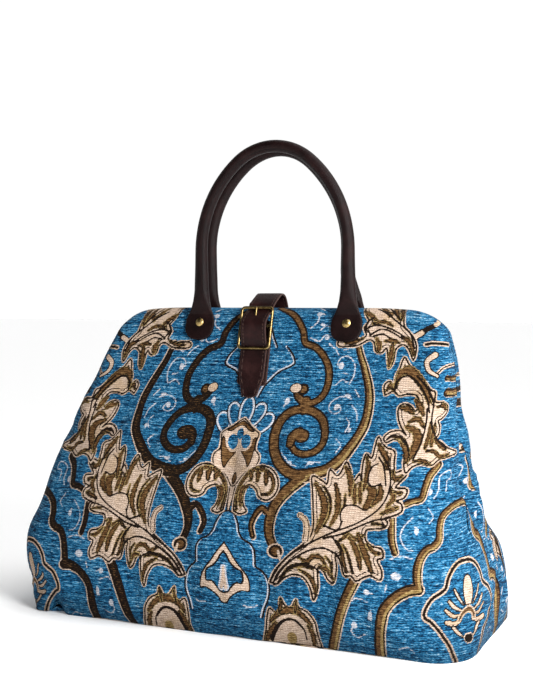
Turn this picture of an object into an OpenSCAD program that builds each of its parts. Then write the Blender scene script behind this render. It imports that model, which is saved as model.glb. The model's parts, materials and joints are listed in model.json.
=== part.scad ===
// Carpet bag: soft cloth body on a hinged steel frame, two rolled leather handles, strap and buckle.
// X runs along the bag, Y to the rear, Z up; the origin is the centre of the base on the floor.

/* [Cloth body] */
// Outside length at the widest point
bag_length = 488; // [440:2:540]
// Outside depth at the widest point
bag_depth = 222; // [180:2:250]
// Height of the widest point above the floor
bulge_height = 46; // [36:1:70]
// How far the flat base sits inside the widest outline
base_inset = 13; // [8:1:32]
// Plan corner radius at the widest point
corner_radius = 46; // [30:1:65]
// Outside length where the lower walls end and the fold begins
fold_length = 430; // [410:2:470]
// Outside depth where the lower walls end and the fold begins
fold_depth = 114; // [96:2:140]
// Plan corner radius where the fold begins
fold_corner = 26; // [16:1:36]
// Exponent of the curve from the widest point up to the fold
side_curve = 1.4; // [1:0.05:2]
// How far each gusset is tucked in along its top edge
pleat_depth = 30; // [10:1:40]
// How far the filled body has sagged to the left at half height
sag = 14; // [0:1:20]
// Thickness of the padded cloth
cloth = 3; // [2:0.25:4]
// Thickness of the base board
board_thickness = 3; // [2:0.25:5]
// Thickness of the lining
lining_thickness = 1; // [0.8:0.1:1.6]

/* [Casing round the frame] */
// Height of the frame's hinge pins
hinge_height = 236; // [215:1:250]
// Outside length of the closed bag at the hinges
neck_length = 398; // [380:2:420]
// Outside depth of the closed bag at the hinges
neck_depth = 72; // [60:1:84]
// Plan corner radius of the casing
neck_corner = 16; // [10:1:20]
// Height of the casing's wall, from the hinges up to where it rolls over the top
casing_height = 60; // [45:1:70]
// Outside length of the casing at the shoulder
shoulder_length = 368; // [350:2:376]
// Outside depth of the closed bag at the shoulder
shoulder_depth = 40; // [36:1:46]
// Height of the roll above the shoulder
crown_height = 22; // [18:0.5:26]
// Radius of the casing's top corners seen from the front
crown_corner = 24; // [18:1:30]

/* [Steel frame] */
// Width of the frame strip
strip_width = 8; // [6:0.5:9]
// Thickness of the frame strip
strip_thickness = 2.5; // [2:0.25:3]
// Outside radius of the frame's top corners
frame_corner = 20; // [14:1:26]
// Gap between the two closed frame strips
frame_gap = 5; // [3:0.5:7]
// Radius of a hinge pin
pin_radius = 2.5; // [2:0.25:3]

/* [Handles] */
// Centre of the front handle along the bag
front_handle_center = 10; // [-15:1:20]
// Centre of the rear handle along the bag
rear_handle_center = 4; // [-15:1:20]
// Distance between a handle's two limbs
handle_spacing = 164; // [140:2:180]
// Diameter of the rolled handle
handle_diameter = 12; // [10:0.5:15]
// Length of the straight limbs above the casing's shoulder
limb_height = 82; // [60:1:105]
// Height of the handle's centre line above the casing's shoulder
handle_height = 187; // [165:1:210]
// Radius of the handle's crown
handle_crown = 62; // [50:1:68]
// Height of the handle rivets above the casing's shoulder
rivet_rise = 6; // [0:0.5:8]
// Width of a handle tab
tab_width = 30; // [26:1:36]
// Thickness of a handle tab
tab_thickness = 3.5; // [2.5:0.25:4.5]
// Radius of a rivet's domed head
rivet_head = 4.5; // [3.5:0.25:5.5]

/* [Strap and buckle] */
// Centre of the strap along the bag
strap_center = -5; // [-20:1:10]
// Width of the strap
strap_width = 28; // [22:1:32]
// Thickness of the strap
strap_thickness = 2.2; // [1.6:0.1:2.6]
// Height of the buckle's centre bar above the casing's shoulder
buckle_rise = 2; // [-4:0.5:6]
// Outside width of the buckle
buckle_width = 37; // [34:0.5:42]
// Outside height of the buckle
buckle_length = 41; // [38:0.5:46]
// Diameter of the buckle's bars
buckle_bar = 2.8; // [2.2:0.1:3.2]
// Width of the leather that carries the buckle
chape_width = 33; // [30:0.5:36]
// Length of the strap below the buckle's centre bar
strap_tail = 69; // [60:1:80]
// Length of the chape below the buckle's centre bar
chape_tail = 57; // [45:1:60]
// Height of the strap's arch above the closed top
strap_arch = 14; // [6:1:20]

/* [Hidden] */

$fn = 64;
cloth_color = [0.07, 0.33, 0.62];
casing_color = [0.09, 0.37, 0.66];
lining_color = [0.10, 0.12, 0.20];
board_color = [0.55, 0.45, 0.33];
leather_color = [0.20, 0.09, 0.09];
brass_color = [0.66, 0.52, 0.26];
steel_color = [0.60, 0.61, 0.63];

// Clearances
seat = 0.3;
pin_clearance = 0.05;
mouth_gap = 0.3;
fold_clearance = 6;
lining_clearance = 0.9;
board_clearance = 1;
least_end = 0.5;

// Facets of the soft shells
end_steps = 3;
arc_steps = 5;
flat_steps = 10;
base_rows = 6;
wall_rows = 6;
casing_rows = 3;
dome_rows = 7;
dome_end = 84;

// Heights that follow the hinge
shoulder_height = hinge_height + casing_height;
spring_height = shoulder_height + limb_height;
handle_top = shoulder_height + handle_height;
rivet_height = shoulder_height + rivet_rise;
buckle_height = shoulder_height + buckle_rise;

// Heights where one shell hands over to the next
fold_height = hinge_height - neck_depth / 2 - fold_clearance;
fold_top = hinge_height;
casing_bottom = hinge_height + 2 * seat;

// How fast the casing leans in towards the top
casing_rise = shoulder_height - casing_bottom;
front_lean = (neck_depth - shoulder_depth) / 2 / casing_rise;
end_lean = (neck_length - shoulder_length) / 2 / casing_rise;
face_tilt = atan(front_lean);

// Share of the pleat's depth at a distance from the middle of the end
function tuck(y, width) = (1 + cos(180 * y / width)) / 2;

// Front half of a plan section, from the left end's middle round to the right end's middle
function half_section(a, b, r, pleat, gap) =
    let (round = min(r, b - gap - least_end), width = b - round)
    let (end = [for (i = [0:end_steps - 1])
        let (y = gap + (width - gap) * i / end_steps)
        [a - pleat * tuck(y, width), -y]])
    let (arc = [for (i = [0:arc_steps])
        let (t = 90 * i / arc_steps)
        [a - round + round * cos(t), -width - round * sin(t)]])
    let (flat = [for (i = [1:flat_steps - 1])
        [(a - round) * (2 * i / flat_steps - 1), -b]])
    let (side = concat(end, arc))
    concat(
        [for (p = side) [-p.x, p.y]],
        flat,
        [for (i = [len(side) - 1:-1:0]) side[i]]
    );

// The columns of a half section that the front panel covers, and those of the gusset
first_column = end_steps;
last_column = end_steps + 2 * arc_steps + flat_steps;

function blend(low, high, t) = low + (high - low) * t;
function sag_at(z) = z < hinge_height ? sag * sin(180 * z / hinge_height) : 0;
function at_height(section, z) = [for (p = section) [p.x - sag_at(z), p.y, z]];
function columns(row, first, last) = [for (i = [first:last]) row[i]];

// Half section of the lower walls: inset is the wall's depth below the outer face, floor_z where it starts
function base_section(angle, inset, gap) =
    half_section(
        bag_length / 2 - inset - base_inset * (1 - sin(angle)),
        bag_depth / 2 - inset - base_inset * (1 - sin(angle)),
        corner_radius - inset, 0, gap
    );
function wall_section(t, inset, gap) =
    let (s = pow(t, side_curve))
    half_section(
        blend(bag_length, fold_length, s) / 2 - inset,
        blend(bag_depth, fold_depth, s) / 2 - inset,
        blend(corner_radius, fold_corner, t) - inset,
        pleat_depth * t * t, gap
    );
function lower_rows(inset, floor_z, gap) = concat(
    [for (i = [0:base_rows - 1])
        let (angle = 90 * i / base_rows)
        at_height(base_section(angle, inset, gap), floor_z + (bulge_height - floor_z) * (1 - cos(angle)))],
    [for (i = [0:wall_rows])
        let (t = i / wall_rows)
        at_height(wall_section(t, inset, gap), blend(bulge_height, fold_height, t))]
);

// Rows of the fold strip between the lower walls and the casing
function fold_rows(inset) = [for (i = [0:wall_rows / 2])
    let (t = 2 * i / wall_rows)
    at_height(
        half_section(
            blend(fold_length, neck_length, t) / 2 - inset,
            blend(fold_depth, neck_depth, t) / 2 - inset,
            blend(fold_corner, neck_corner, t) - inset,
            pleat_depth * (1 - t), mouth_gap
        ),
        blend(fold_height, fold_top, t)
    )];

// Rolled edge: starts at reach with the given lean and closes to nothing at the crown
function roll_start(reach, lean, crown) = lean * crown / (reach - lean * crown);
function roll_height(reach, lean, crown) = crown / (1 - roll_start(reach, lean, crown));
function roll(h, reach, lean, crown) =
    let (start = roll_start(reach, lean, crown))
    let (rise = start + h / roll_height(reach, lean, crown))
    reach / sqrt(1 - start * start) * sqrt(max(0, 1 - rise * rise));

// Rows of the casing: a leaning wall, then the roll over the top
function casing_wall(z, inset) =
    half_section(
        neck_length / 2 - inset - end_lean * (z - casing_bottom),
        neck_depth / 2 - inset - front_lean * (z - casing_bottom),
        neck_corner - inset, 0, mouth_gap
    );
function casing_roll(h, inset) =
    half_section(
        shoulder_length / 2 - crown_corner + roll(h, crown_corner - inset, end_lean, crown_height - inset),
        roll(h, shoulder_depth / 2 - inset, front_lean, crown_height - inset),
        neck_corner - inset, 0, mouth_gap
    );
function roll_step(angle, inset) =
    let (reach = shoulder_depth / 2 - inset, crown = crown_height - inset)
    let (start = roll_start(reach, front_lean, crown))
    roll_height(reach, front_lean, crown) * (sin(angle) - start);
function roll_first(inset) =
    asin(roll_start(shoulder_depth / 2 - inset, front_lean, crown_height - inset));
function casing_rows_at(inset) = concat(
    [for (i = [0:casing_rows - 1])
        let (z = blend(casing_bottom, shoulder_height, i / casing_rows))
        at_height(casing_wall(z, inset), z)],
    [for (i = [0:dome_rows])
        let (h = roll_step(blend(roll_first(inset), dome_end, i / dome_rows), inset))
        at_height(casing_roll(h, inset), shoulder_height + h)]
);

// Closed shell between two grids of points, columns running left to right seen from outside
module shell(outer, inner) {
    rows = len(outer);
    cols = len(outer[0]);
    half = rows * cols;
    function at(v, u) = v * cols + u;
    points = concat([for (row = outer) each row], [for (row = inner) each row]);
    skin = [for (v = [0:rows - 2], u = [0:cols - 2])
        let (a = at(v, u), b = at(v, u + 1), c = at(v + 1, u + 1), d = at(v + 1, u))
        each [[a, d, c], [a, c, b], [half + a, half + b, half + c], [half + a, half + c, half + d]]];
    low_edge = [for (u = [0:cols - 2]) [at(0, u), at(0, u + 1)]];
    high_edge = [for (u = [0:cols - 2]) [at(rows - 1, u + 1), at(rows - 1, u)]];
    left_edge = [for (v = [0:rows - 2]) [at(v + 1, 0), at(v, 0)]];
    right_edge = [for (v = [0:rows - 2]) [at(v, cols - 1), at(v + 1, cols - 1)]];
    rim = [for (e = concat(low_edge, high_edge, left_edge, right_edge))
        each [[e[0], e[1], half + e[1]], [e[0], half + e[1], half + e[0]]]];
    polyhedron(points, concat(skin, rim));
}

// Closed cup between two stacks of rings, with flat floors
module cup(outer, inner) {
    rows = len(outer);
    cols = len(outer[0]);
    half = rows * cols;
    function at(v, u) = v * cols + u % cols;
    points = concat([for (row = outer) each row], [for (row = inner) each row]);
    skin = [for (v = [0:rows - 2], u = [0:cols - 1])
        let (a = at(v, u), b = at(v, u + 1), c = at(v + 1, u + 1), d = at(v + 1, u))
        each [[a, d, c], [a, c, b], [half + a, half + b, half + c], [half + a, half + c, half + d]]];
    rim = [for (u = [0:cols - 1])
        let (c = at(rows - 1, u + 1), d = at(rows - 1, u))
        each [[c, d, half + d], [c, half + d, half + c]]];
    floors = [for (u = [0:cols - 1])
        let (next = (u + 1) % cols)
        each [[u, next, 2 * half], [half + next, half + u, 2 * half + 1]]];
    centres = [[0, 0, outer[0][0].z], [0, 0, inner[0][0].z]];
    polyhedron(concat(points, centres), concat(skin, rim, floors));
}

// Rear half of a section, and the whole ring, from its front half
function rear_of(row) = [for (i = [len(row) - 1:-1:0]) [row[i].x, -row[i].y, row[i].z]];
function ring(row) = concat(row, columns(rear_of(row), 1, len(row) - 2));

// Gusset rows: the end of one half section joined to its mirror image
function right_end(row) =
    let (end = columns(row, last_column, len(row) - 1))
    concat(end, columns(rear_of(end), 1, end_steps));
function left_end(row) =
    let (end = columns(row, 0, first_column))
    concat(columns(rear_of(end), 0, end_steps - 1), end);

module front_panel() {
    color(cloth_color)
        shell(
            [for (row = lower_rows(0, 0, 0)) columns(row, first_column, last_column)],
            [for (row = lower_rows(cloth, cloth, 0)) columns(row, first_column, last_column)]
        );
}

module rear_panel() {
    color(cloth_color)
        shell(
            [for (row = lower_rows(0, 0, 0)) rear_of(columns(row, first_column, last_column))],
            [for (row = lower_rows(cloth, cloth, 0)) rear_of(columns(row, first_column, last_column))]
        );
}

module right_gusset() {
    color(cloth_color)
        shell(
            [for (row = lower_rows(0, 0, 0)) right_end(row)],
            [for (row = lower_rows(cloth, cloth, 0)) right_end(row)]
        );
}

module left_gusset() {
    color(cloth_color)
        shell(
            [for (row = lower_rows(0, 0, 0)) left_end(row)],
            [for (row = lower_rows(cloth, cloth, 0)) left_end(row)]
        );
}

// Flat base between the wall's lower edges, with bevelled sides that follow them
module bottom_panel() {
    under = ring(at_height(base_section(0, 0, 0), 0));
    upper = ring(at_height(base_section(0, cloth, 0), cloth));
    count = len(under);
    faces = [for (u = [0:count - 1])
        let (next = (u + 1) % count)
        each [
            [u, count + u, count + next], [u, count + next, next],
            [u, next, 2 * count], [count + next, count + u, 2 * count + 1]
        ]];
    color(cloth_color)
        polyhedron(concat(under, upper, [[0, 0, 0], [0, 0, cloth]]), faces);
}

module base_board() {
    inset = base_inset + cloth + board_clearance;
    length = bag_length - 2 * inset;
    depth = bag_depth - 2 * inset;
    round = corner_radius - cloth - board_clearance;
    color(board_color)
        translate([0, 0, cloth])
            linear_extrude(board_thickness) {
                square([length - 2 * round, depth], center = true);
                square([length, depth - 2 * round], center = true);
                for (x = [-1, 1], y = [-1, 1])
                    translate([x * (length / 2 - round), y * (depth / 2 - round)]) circle(round);
            }
}

module lining() {
    outside = cloth + lining_clearance;
    inside = outside + lining_thickness;
    floor_z = cloth + board_thickness + lining_clearance;
    color(lining_color)
        cup(
            [for (row = lower_rows(outside, floor_z, 0)) ring(row)],
            [for (row = lower_rows(inside, floor_z + lining_thickness, 0)) ring(row)]
        );
}

module front_fold() {
    color(cloth_color) shell(fold_rows(0), fold_rows(cloth));
}

module rear_fold() {
    color(cloth_color)
        shell(
            [for (row = fold_rows(0)) rear_of(row)],
            [for (row = fold_rows(cloth)) rear_of(row)]
        );
}

// Frame strips: each half is one bent strip with an eye at both ends
strip_near = frame_gap / 2;
strip_far = strip_near + strip_width;
// Room above the strip inside the roll, found from the roll's own curve
roll_reach = shoulder_depth / 2 - cloth;
roll_crown = crown_height - cloth;
roll_sine = roll_start(roll_reach, front_lean, roll_crown);
roll_width = roll_reach / sqrt(1 - roll_sine * roll_sine);
strip_rise = roll_height(roll_reach, front_lean, roll_crown)
    * (sqrt(1 - pow((strip_far + seat) / roll_width, 2)) - roll_sine);
strip_top = shoulder_height + strip_rise - seat;
frame_half_length = shoulder_length / 2 - cloth - neck_corner / 2;
eye_wall = 4;
eye_radius = pin_radius + eye_wall;
eye_turn = 60;
strip_side_gap = 0.4;
pin_head_rim = 2;
pin_head_radius = pin_radius + pin_head_rim;
pin_head_thickness = 1.5;
pin_side_gap = 0.2;

module frame_half(half_length) {
    bore = pin_radius + pin_clearance;
    corner_z = strip_top - frame_corner;
    corner_x = half_length - frame_corner;
    color(steel_color)
        difference() {
            union() {
                for (side = [0, 1])
                    mirror([side, 0, 0]) {
                        translate([half_length - strip_thickness, 0, 0])
                            rotate([90, 0, 90])
                                linear_extrude(strip_thickness) {
                                    translate([0, hinge_height]) circle(eye_radius);
                                    polygon([
                                        [-strip_far, corner_z], [-strip_near, corner_z],
                                        [-strip_near, hinge_height + 2 * eye_radius],
                                        [eye_radius * cos(eye_turn), hinge_height + eye_radius * sin(eye_turn)],
                                        [-eye_radius * sin(eye_turn), hinge_height - eye_radius * cos(eye_turn)],
                                        [-strip_far, hinge_height + eye_radius]
                                    ]);
                                }
                        translate([corner_x, 0, corner_z])
                            rotate([90, 0, 0])
                                rotate_extrude(angle = 90)
                                    translate([frame_corner - strip_thickness, strip_near])
                                        square([strip_thickness, strip_width]);
                    }
                translate([-corner_x, -strip_far, strip_top - strip_thickness])
                    cube([2 * corner_x, strip_width, strip_thickness]);
            }
            for (side = [-1, 1])
                translate([side * half_length, 0, hinge_height])
                    rotate([0, 90, 0])
                        cylinder(r = bore, h = 4 * strip_thickness, center = true);
        }
}

module front_frame() {
    frame_half(frame_half_length);
}

module rear_frame() {
    mirror([0, 1, 0]) frame_half(frame_half_length - strip_thickness - strip_side_gap);
}

// Pin with a flat head at each side of the two eyes
module right_hinge_pin() {
    stack = 2 * strip_thickness + strip_side_gap + 2 * pin_side_gap;
    color(steel_color)
        translate([frame_half_length + pin_side_gap - stack, 0, hinge_height])
            rotate([0, 90, 0]) {
                cylinder(r = pin_radius, h = stack);
                translate([0, 0, -pin_head_thickness])
                    cylinder(r = pin_head_radius, h = pin_head_thickness);
                translate([0, 0, stack])
                    cylinder(r = pin_head_radius, h = pin_head_thickness);
            }
}

module left_hinge_pin() {
    mirror([1, 0, 0]) right_hinge_pin();
}

// Places children on the sloping front: local X along the bag, Z up the slope, -Y out of it
module on_front(x, z) {
    translate([x, -neck_depth / 2 + front_lean * (z - casing_bottom), z])
        rotate([-face_tilt, 0, 0])
            children();
}

rivet_shank = 1.5;
rivet_burr = 3;
rivet_burr_thickness = 1;
rivet_dome = 1.8;
// Depth of the burr behind the face, past the rolled cloth
burr_gap = 2;
rivet_reach = cloth + burr_gap;
tab_face = seat + tab_thickness;

module handle_rivet() {
    dome_sphere = (rivet_head * rivet_head + rivet_dome * rivet_dome) / (2 * rivet_dome);
    rotate([90, 0, 0]) {
        translate([0, 0, -rivet_reach]) cylinder(r = rivet_shank, h = rivet_reach + tab_face);
        translate([0, 0, -rivet_reach - rivet_burr_thickness])
            cylinder(r = rivet_burr, h = rivet_burr_thickness);
        translate([0, 0, tab_face])
            intersection() {
                translate([0, 0, rivet_dome - dome_sphere]) sphere(dome_sphere);
                cylinder(r = rivet_head, h = rivet_dome);
            }
    }
}

module at_rivets(center) {
    for (side = [-1, 1])
        on_front(center + side * handle_spacing / 2, rivet_height) children();
}

module front_casing_about(center) {
    color(casing_color)
        difference() {
            shell(casing_rows_at(0), casing_rows_at(cloth));
            at_rivets(center)
                rotate([90, 0, 0])
                    cylinder(r = rivet_shank + seat, h = 6 * cloth, center = true);
        }
}

module front_casing() {
    front_casing_about(front_handle_center);
}

module rear_casing() {
    mirror([0, 1, 0]) front_casing_about(rear_handle_center);
}

// Handle tab: a round leather end that narrows into the handle's neck
tab_top = 14;
tab_margin = 1.5;
tab_neck = handle_diameter + 2 * tab_margin;
tab_steps = 28;

module handle_tab(center, side) {
    round = tab_width / 2;
    neck = tab_neck / 2;
    tangent = atan2(tab_top, neck) - acos(min(1, round / norm([neck, tab_top])));
    arc = [for (i = [0:tab_steps])
        let (t = blend(tangent, -180 - tangent, i / tab_steps))
        round * [cos(t), sin(t)]];
    color(leather_color)
        on_front(center + side * handle_spacing / 2, rivet_height)
            rotate([90, 0, 0])
                translate([0, 0, seat])
                    linear_extrude(tab_thickness)
                        difference() {
                            polygon(concat([[-neck, tab_top], [neck, tab_top]], arc));
                            circle(rivet_shank + pin_clearance);
                        }
}

module front_handle_tab_left() {
    handle_tab(front_handle_center, -1);
}

module front_handle_tab_right() {
    handle_tab(front_handle_center, 1);
}

module rear_handle_tab_left() {
    mirror([0, 1, 0]) handle_tab(rear_handle_center, -1);
}

module rear_handle_tab_right() {
    mirror([0, 1, 0]) handle_tab(rear_handle_center, 1);
}

module front_handle_rivets() {
    color(brass_color) at_rivets(front_handle_center) handle_rivet();
}

module rear_handle_rivets() {
    color(brass_color) mirror([0, 1, 0]) at_rivets(rear_handle_center) handle_rivet();
}

// Neck of a handle: the point it flexes about, just above the tabs
handle_radius = handle_diameter / 2;
tab_middle = seat + tab_thickness / 2;
neck_y = -neck_depth / 2 + front_lean * (rivet_height - casing_bottom)
    + tab_top * sin(face_tilt) - tab_middle * cos(face_tilt);
neck_z = rivet_height + tab_top * cos(face_tilt) + tab_face * sin(face_tilt) + seat + handle_radius;

// Rolled grip: rounded ends, straight limbs, two shoulder arcs and a crown arc, all tangent
grip_sides = 14;
cap_steps = 3;
cap_turn = 80;
shoulder_steps = 6;
crown_steps = 10;
grip_half = handle_spacing / 2;
grip_drop = handle_top - spring_height - handle_crown;
shoulder_radius = (grip_half * grip_half + grip_drop * grip_drop - handle_crown * handle_crown)
    / (2 * (grip_half - handle_crown));
shoulder_turn = atan2(grip_drop, shoulder_radius - grip_half);

// Stations of the right half as [x, z, direction of the outer side, radius]
function right_limb() = concat(
    [for (i = [0:cap_steps - 1])
        let (t = cap_turn * (1 - i / cap_steps))
        [grip_half, neck_z - handle_radius * sin(t), 0, handle_radius * cos(t)]],
    [[grip_half, neck_z, 0, handle_radius]],
    [for (i = [0:shoulder_steps - 1])
        let (t = shoulder_turn * i / shoulder_steps)
        [grip_half + shoulder_radius * (cos(t) - 1), spring_height + shoulder_radius * sin(t), t, handle_radius]]
);
function crown() = [for (i = [0:crown_steps])
    let (t = blend(shoulder_turn, 180 - shoulder_turn, i / crown_steps))
    [handle_crown * cos(t), handle_top - handle_crown + handle_crown * sin(t), t, handle_radius]];
function grip_stations() =
    let (limb = right_limb())
    concat(limb, crown(), [for (i = [len(limb) - 1:-1:0])
        [-limb[i][0], limb[i][1], 180 - limb[i][2], limb[i][3]]]);

// Round tube through stations in the X-Z plane, with a flat cap at both ends
module tube(stations) {
    count = len(stations);
    rings = [for (s = stations, i = [0:grip_sides - 1])
        let (t = 360 * i / grip_sides, out = s[3] * cos(t))
        [s[0] + out * cos(s[2]), s[3] * sin(t), s[1] + out * sin(s[2])]];
    ends = [for (s = [stations[0], stations[count - 1]]) [s[0], 0, s[1]]];
    first = count * grip_sides;
    sides = [for (v = [0:count - 2], u = [0:grip_sides - 1])
        let (next = (u + 1) % grip_sides, low = v * grip_sides, high = low + grip_sides)
        each [[low + u, high + next, low + next], [low + u, high + u, high + next]]];
    caps = [for (u = [0:grip_sides - 1])
        let (next = (u + 1) % grip_sides, last = (count - 1) * grip_sides)
        each [[u, next, first], [last + next, last + u, first + 1]]];
    polyhedron(concat(rings, ends), concat(sides, caps));
}

module handle_grip(center) {
    color(leather_color)
        translate([center, neck_y, 0])
            tube(grip_stations());
}

module front_handle_grip() {
    handle_grip(front_handle_center);
}

module rear_handle_grip() {
    mirror([0, 1, 0]) handle_grip(rear_handle_center);
}

// Buckle: a frame and a centre bar, held by the chape's two loops
chape_thickness = 2.2;
bar_radius = buckle_bar / 2;
chape_face = seat + chape_thickness;
strap_low = chape_face + seat + strap_thickness / 2;
bar_level = chape_face + strap_thickness + 2 * seat + bar_radius;
loop_bore = bar_radius + seat;
loop_radius = bar_level - chape_face + seat;
loop_width = 9;
prong_radius = 1.1;
prong_ring = 2.7;
prong_width = 5;
prong_overhang = 3.5;
chape_lip = 3;
chape_corner = 5;
buckle_corner = 4;
bar_x = buckle_width / 2 - bar_radius;
bar_z = buckle_length / 2 - bar_radius;

module buckle_frame() {
    color(brass_color)
        on_front(strap_center, buckle_height)
            translate([0, -bar_level, 0]) {
                for (side = [-1, 1]) {
                    translate([side * bar_x, 0, 0])
                        cylinder(r = bar_radius, h = 2 * (bar_z - buckle_corner), center = true);
                    translate([0, 0, side * bar_z])
                        rotate([0, 90, 0])
                            cylinder(r = bar_radius, h = 2 * (bar_x - buckle_corner), center = true);
                }
                rotate([0, 90, 0]) cylinder(r = bar_radius, h = 2 * bar_x, center = true);
                for (x = [0, 1], z = [0, 1])
                    mirror([x, 0, 0])
                        mirror([0, 0, z])
                            translate([bar_x - buckle_corner, 0, bar_z - buckle_corner])
                                rotate([90, 0, 0])
                                    rotate_extrude(angle = 90)
                                        translate([buckle_corner, 0]) circle(bar_radius);
            }
}

module buckle_chape() {
    above = loop_radius + chape_lip;
    round = chape_corner;
    loop_x = prong_width / 2 + 2 * seat;
    color(leather_color)
        on_front(strap_center, buckle_height)
            difference() {
                union() {
                    translate([0, -seat, 0])
                        rotate([90, 0, 0])
                            linear_extrude(chape_thickness) {
                                translate([-chape_width / 2, round - chape_tail])
                                    square([chape_width, chape_tail - round + above]);
                                translate([round - chape_width / 2, -chape_tail])
                                    square([chape_width - 2 * round, round]);
                                for (side = [-1, 1])
                                    translate([side * (chape_width / 2 - round), round - chape_tail])
                                        circle(round);
                            }
                    for (side = [0, 1])
                        mirror([side, 0, 0])
                            translate([loop_x, -bar_level, 0])
                                rotate([0, 90, 0])
                                    cylinder(r = loop_radius, h = loop_width);
                }
                translate([0, -bar_level, 0])
                    rotate([0, 90, 0])
                        cylinder(r = loop_bore, h = 2 * chape_width, center = true);
            }
}

// Prong: a ring on the centre bar and a pin that rests on the top bar
module buckle_prong() {
    rest_level = bar_level + bar_radius + prong_radius + seat / 2;
    root_level = bar_level + (bar_radius + prong_ring) / 2;
    reach = bar_z + prong_overhang;
    lean = atan2(rest_level - root_level, bar_z);
    color(brass_color)
        on_front(strap_center, buckle_height)
            difference() {
                union() {
                    translate([0, -bar_level, 0])
                        rotate([0, 90, 0])
                            cylinder(r = prong_ring, h = prong_width, center = true);
                    translate([0, -root_level, 0])
                        rotate([lean, 0, 0]) {
                            cylinder(r = prong_radius, h = reach);
                            translate([0, 0, reach]) sphere(prong_radius);
                        }
                }
                translate([0, -bar_level, 0])
                    rotate([0, 90, 0])
                        cylinder(r = bar_radius + pin_clearance, h = 2 * prong_width, center = true);
            }
}

// Strap: fixed behind, over the top, under and over the buckle's bars, in the Y-Z plane
function face_point(along, out) = [
    -neck_depth / 2 + front_lean * (buckle_height - casing_bottom)
        + along * sin(face_tilt) - out * cos(face_tilt),
    buckle_height + along * cos(face_tilt) + out * sin(face_tilt)
];
function rear_point(along, out) = let (p = face_point(along, out)) [-p.x, p.y];
strap_high = bar_level + loop_radius + 2 * seat + strap_thickness / 2;
strap_back = seat + strap_thickness / 2;
strap_crest = shoulder_height + crown_height + strap_arch;
// Length of the strap down the rear, below the buckle's level
strap_rear_tail = 30;
// How far beyond a bar the strap lies flat, how far before it, and how much it has risen there
flat_past = 4;
flat_before = 2;
flat_rise = 0.4;
// Level half-way to the centre bar, where the strap bows out
strap_bow = (strap_low + strap_high) / 2 + 1.2;
arch_drop = strap_arch / 3;
arch_reach = shoulder_depth / 4;
strap_path = [
    face_point(-strap_tail, strap_low),
    face_point((-strap_tail - bar_z) / 2, strap_low),
    face_point(-bar_z - flat_past, strap_low),
    face_point(-bar_z + flat_before, strap_low + flat_rise),
    face_point(-bar_z / 2, strap_bow),
    face_point(0, strap_high),
    face_point(bar_z / 2, strap_bow),
    face_point(bar_z - flat_before, strap_low + flat_rise),
    face_point(bar_z + flat_past, strap_low - seat),
    [-arch_reach, strap_crest - arch_drop],
    [0, strap_crest],
    [arch_reach, strap_crest - arch_drop],
    rear_point(crown_height / 2, strap_back + 2 * seat),
    rear_point(-crown_height / 4, strap_back),
    rear_point(-strap_rear_tail / 2, strap_back),
    rear_point(-strap_rear_tail, strap_back)
];
strap_steps = 4;
tip_width_share = 0.6;
tip_length_share = 0.9;

// Smooth curve through a list of points
function through(p0, p1, p2, p3, t) =
    0.5 * (2 * p1 + (p2 - p0) * t + (2 * p0 - 5 * p1 + 4 * p2 - p3) * t * t
        + (3 * p1 - p0 - 3 * p2 + p3) * t * t * t);
function smooth(points, steps) =
    let (last = len(points) - 1)
    concat(
        [for (i = [0:last - 1], j = [0:steps - 1])
            through(points[max(i - 1, 0)], points[i], points[i + 1], points[min(i + 2, last)], j / steps)],
        [points[last]]
    );
function side_of(line, i) =
    let (d = line[min(i + 1, len(line) - 1)] - line[max(i - 1, 0)])
    [-d.y, d.x] / norm(d);

module closure_strap() {
    line = smooth(strap_path, strap_steps);
    half = strap_thickness / 2;
    tip_width = tip_width_share * strap_width;
    tip_length = tip_length_share * strap_width;
    slot_width = 2 * prong_radius + 4 * seat;
    low = face_point(-strap_tail, 0).y;
    profile = concat(
        [for (i = [0:len(line) - 1]) line[i] + half * side_of(line, i)],
        [for (i = [len(line) - 1:-1:0]) line[i] - half * side_of(line, i)]
    );
    color(leather_color)
        translate([strap_center, 0, 0])
            difference() {
                translate([-strap_width / 2, 0, 0])
                    rotate([90, 0, 90]) linear_extrude(strap_width) polygon(profile);
                for (side = [0, 1])
                    mirror([side, 0, 0])
                        translate([0, -neck_depth, low - strap_thickness])
                            rotate([90, 0, 0])
                                linear_extrude(neck_depth, center = true)
                                    polygon([
                                        [tip_width / 2, 0],
                                        [strap_width / 2, tip_length],
                                        [strap_width, tip_length], [strap_width, 0]
                                    ]);
                on_front(0, buckle_height)
                    translate([-slot_width / 2, -2 * strap_high, seat])
                        cube([slot_width, 2 * strap_high, bar_z - bar_radius]);
            }
}

front_panel();
rear_panel();
left_gusset();
right_gusset();
bottom_panel();
base_board();
lining();
front_fold();
rear_fold();
left_hinge_pin();
right_hinge_pin();
front_frame();
front_casing();
front_handle_tab_left();
front_handle_tab_right();
front_handle_rivets();
front_handle_grip();
buckle_chape();
buckle_frame();
buckle_prong();
rear_frame();
rear_casing();
rear_handle_tab_left();
rear_handle_tab_right();
rear_handle_rivets();
rear_handle_grip();
closure_strap();
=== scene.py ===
import json
import math

import bpy
import numpy as np
from mathutils import Matrix, Vector


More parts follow.
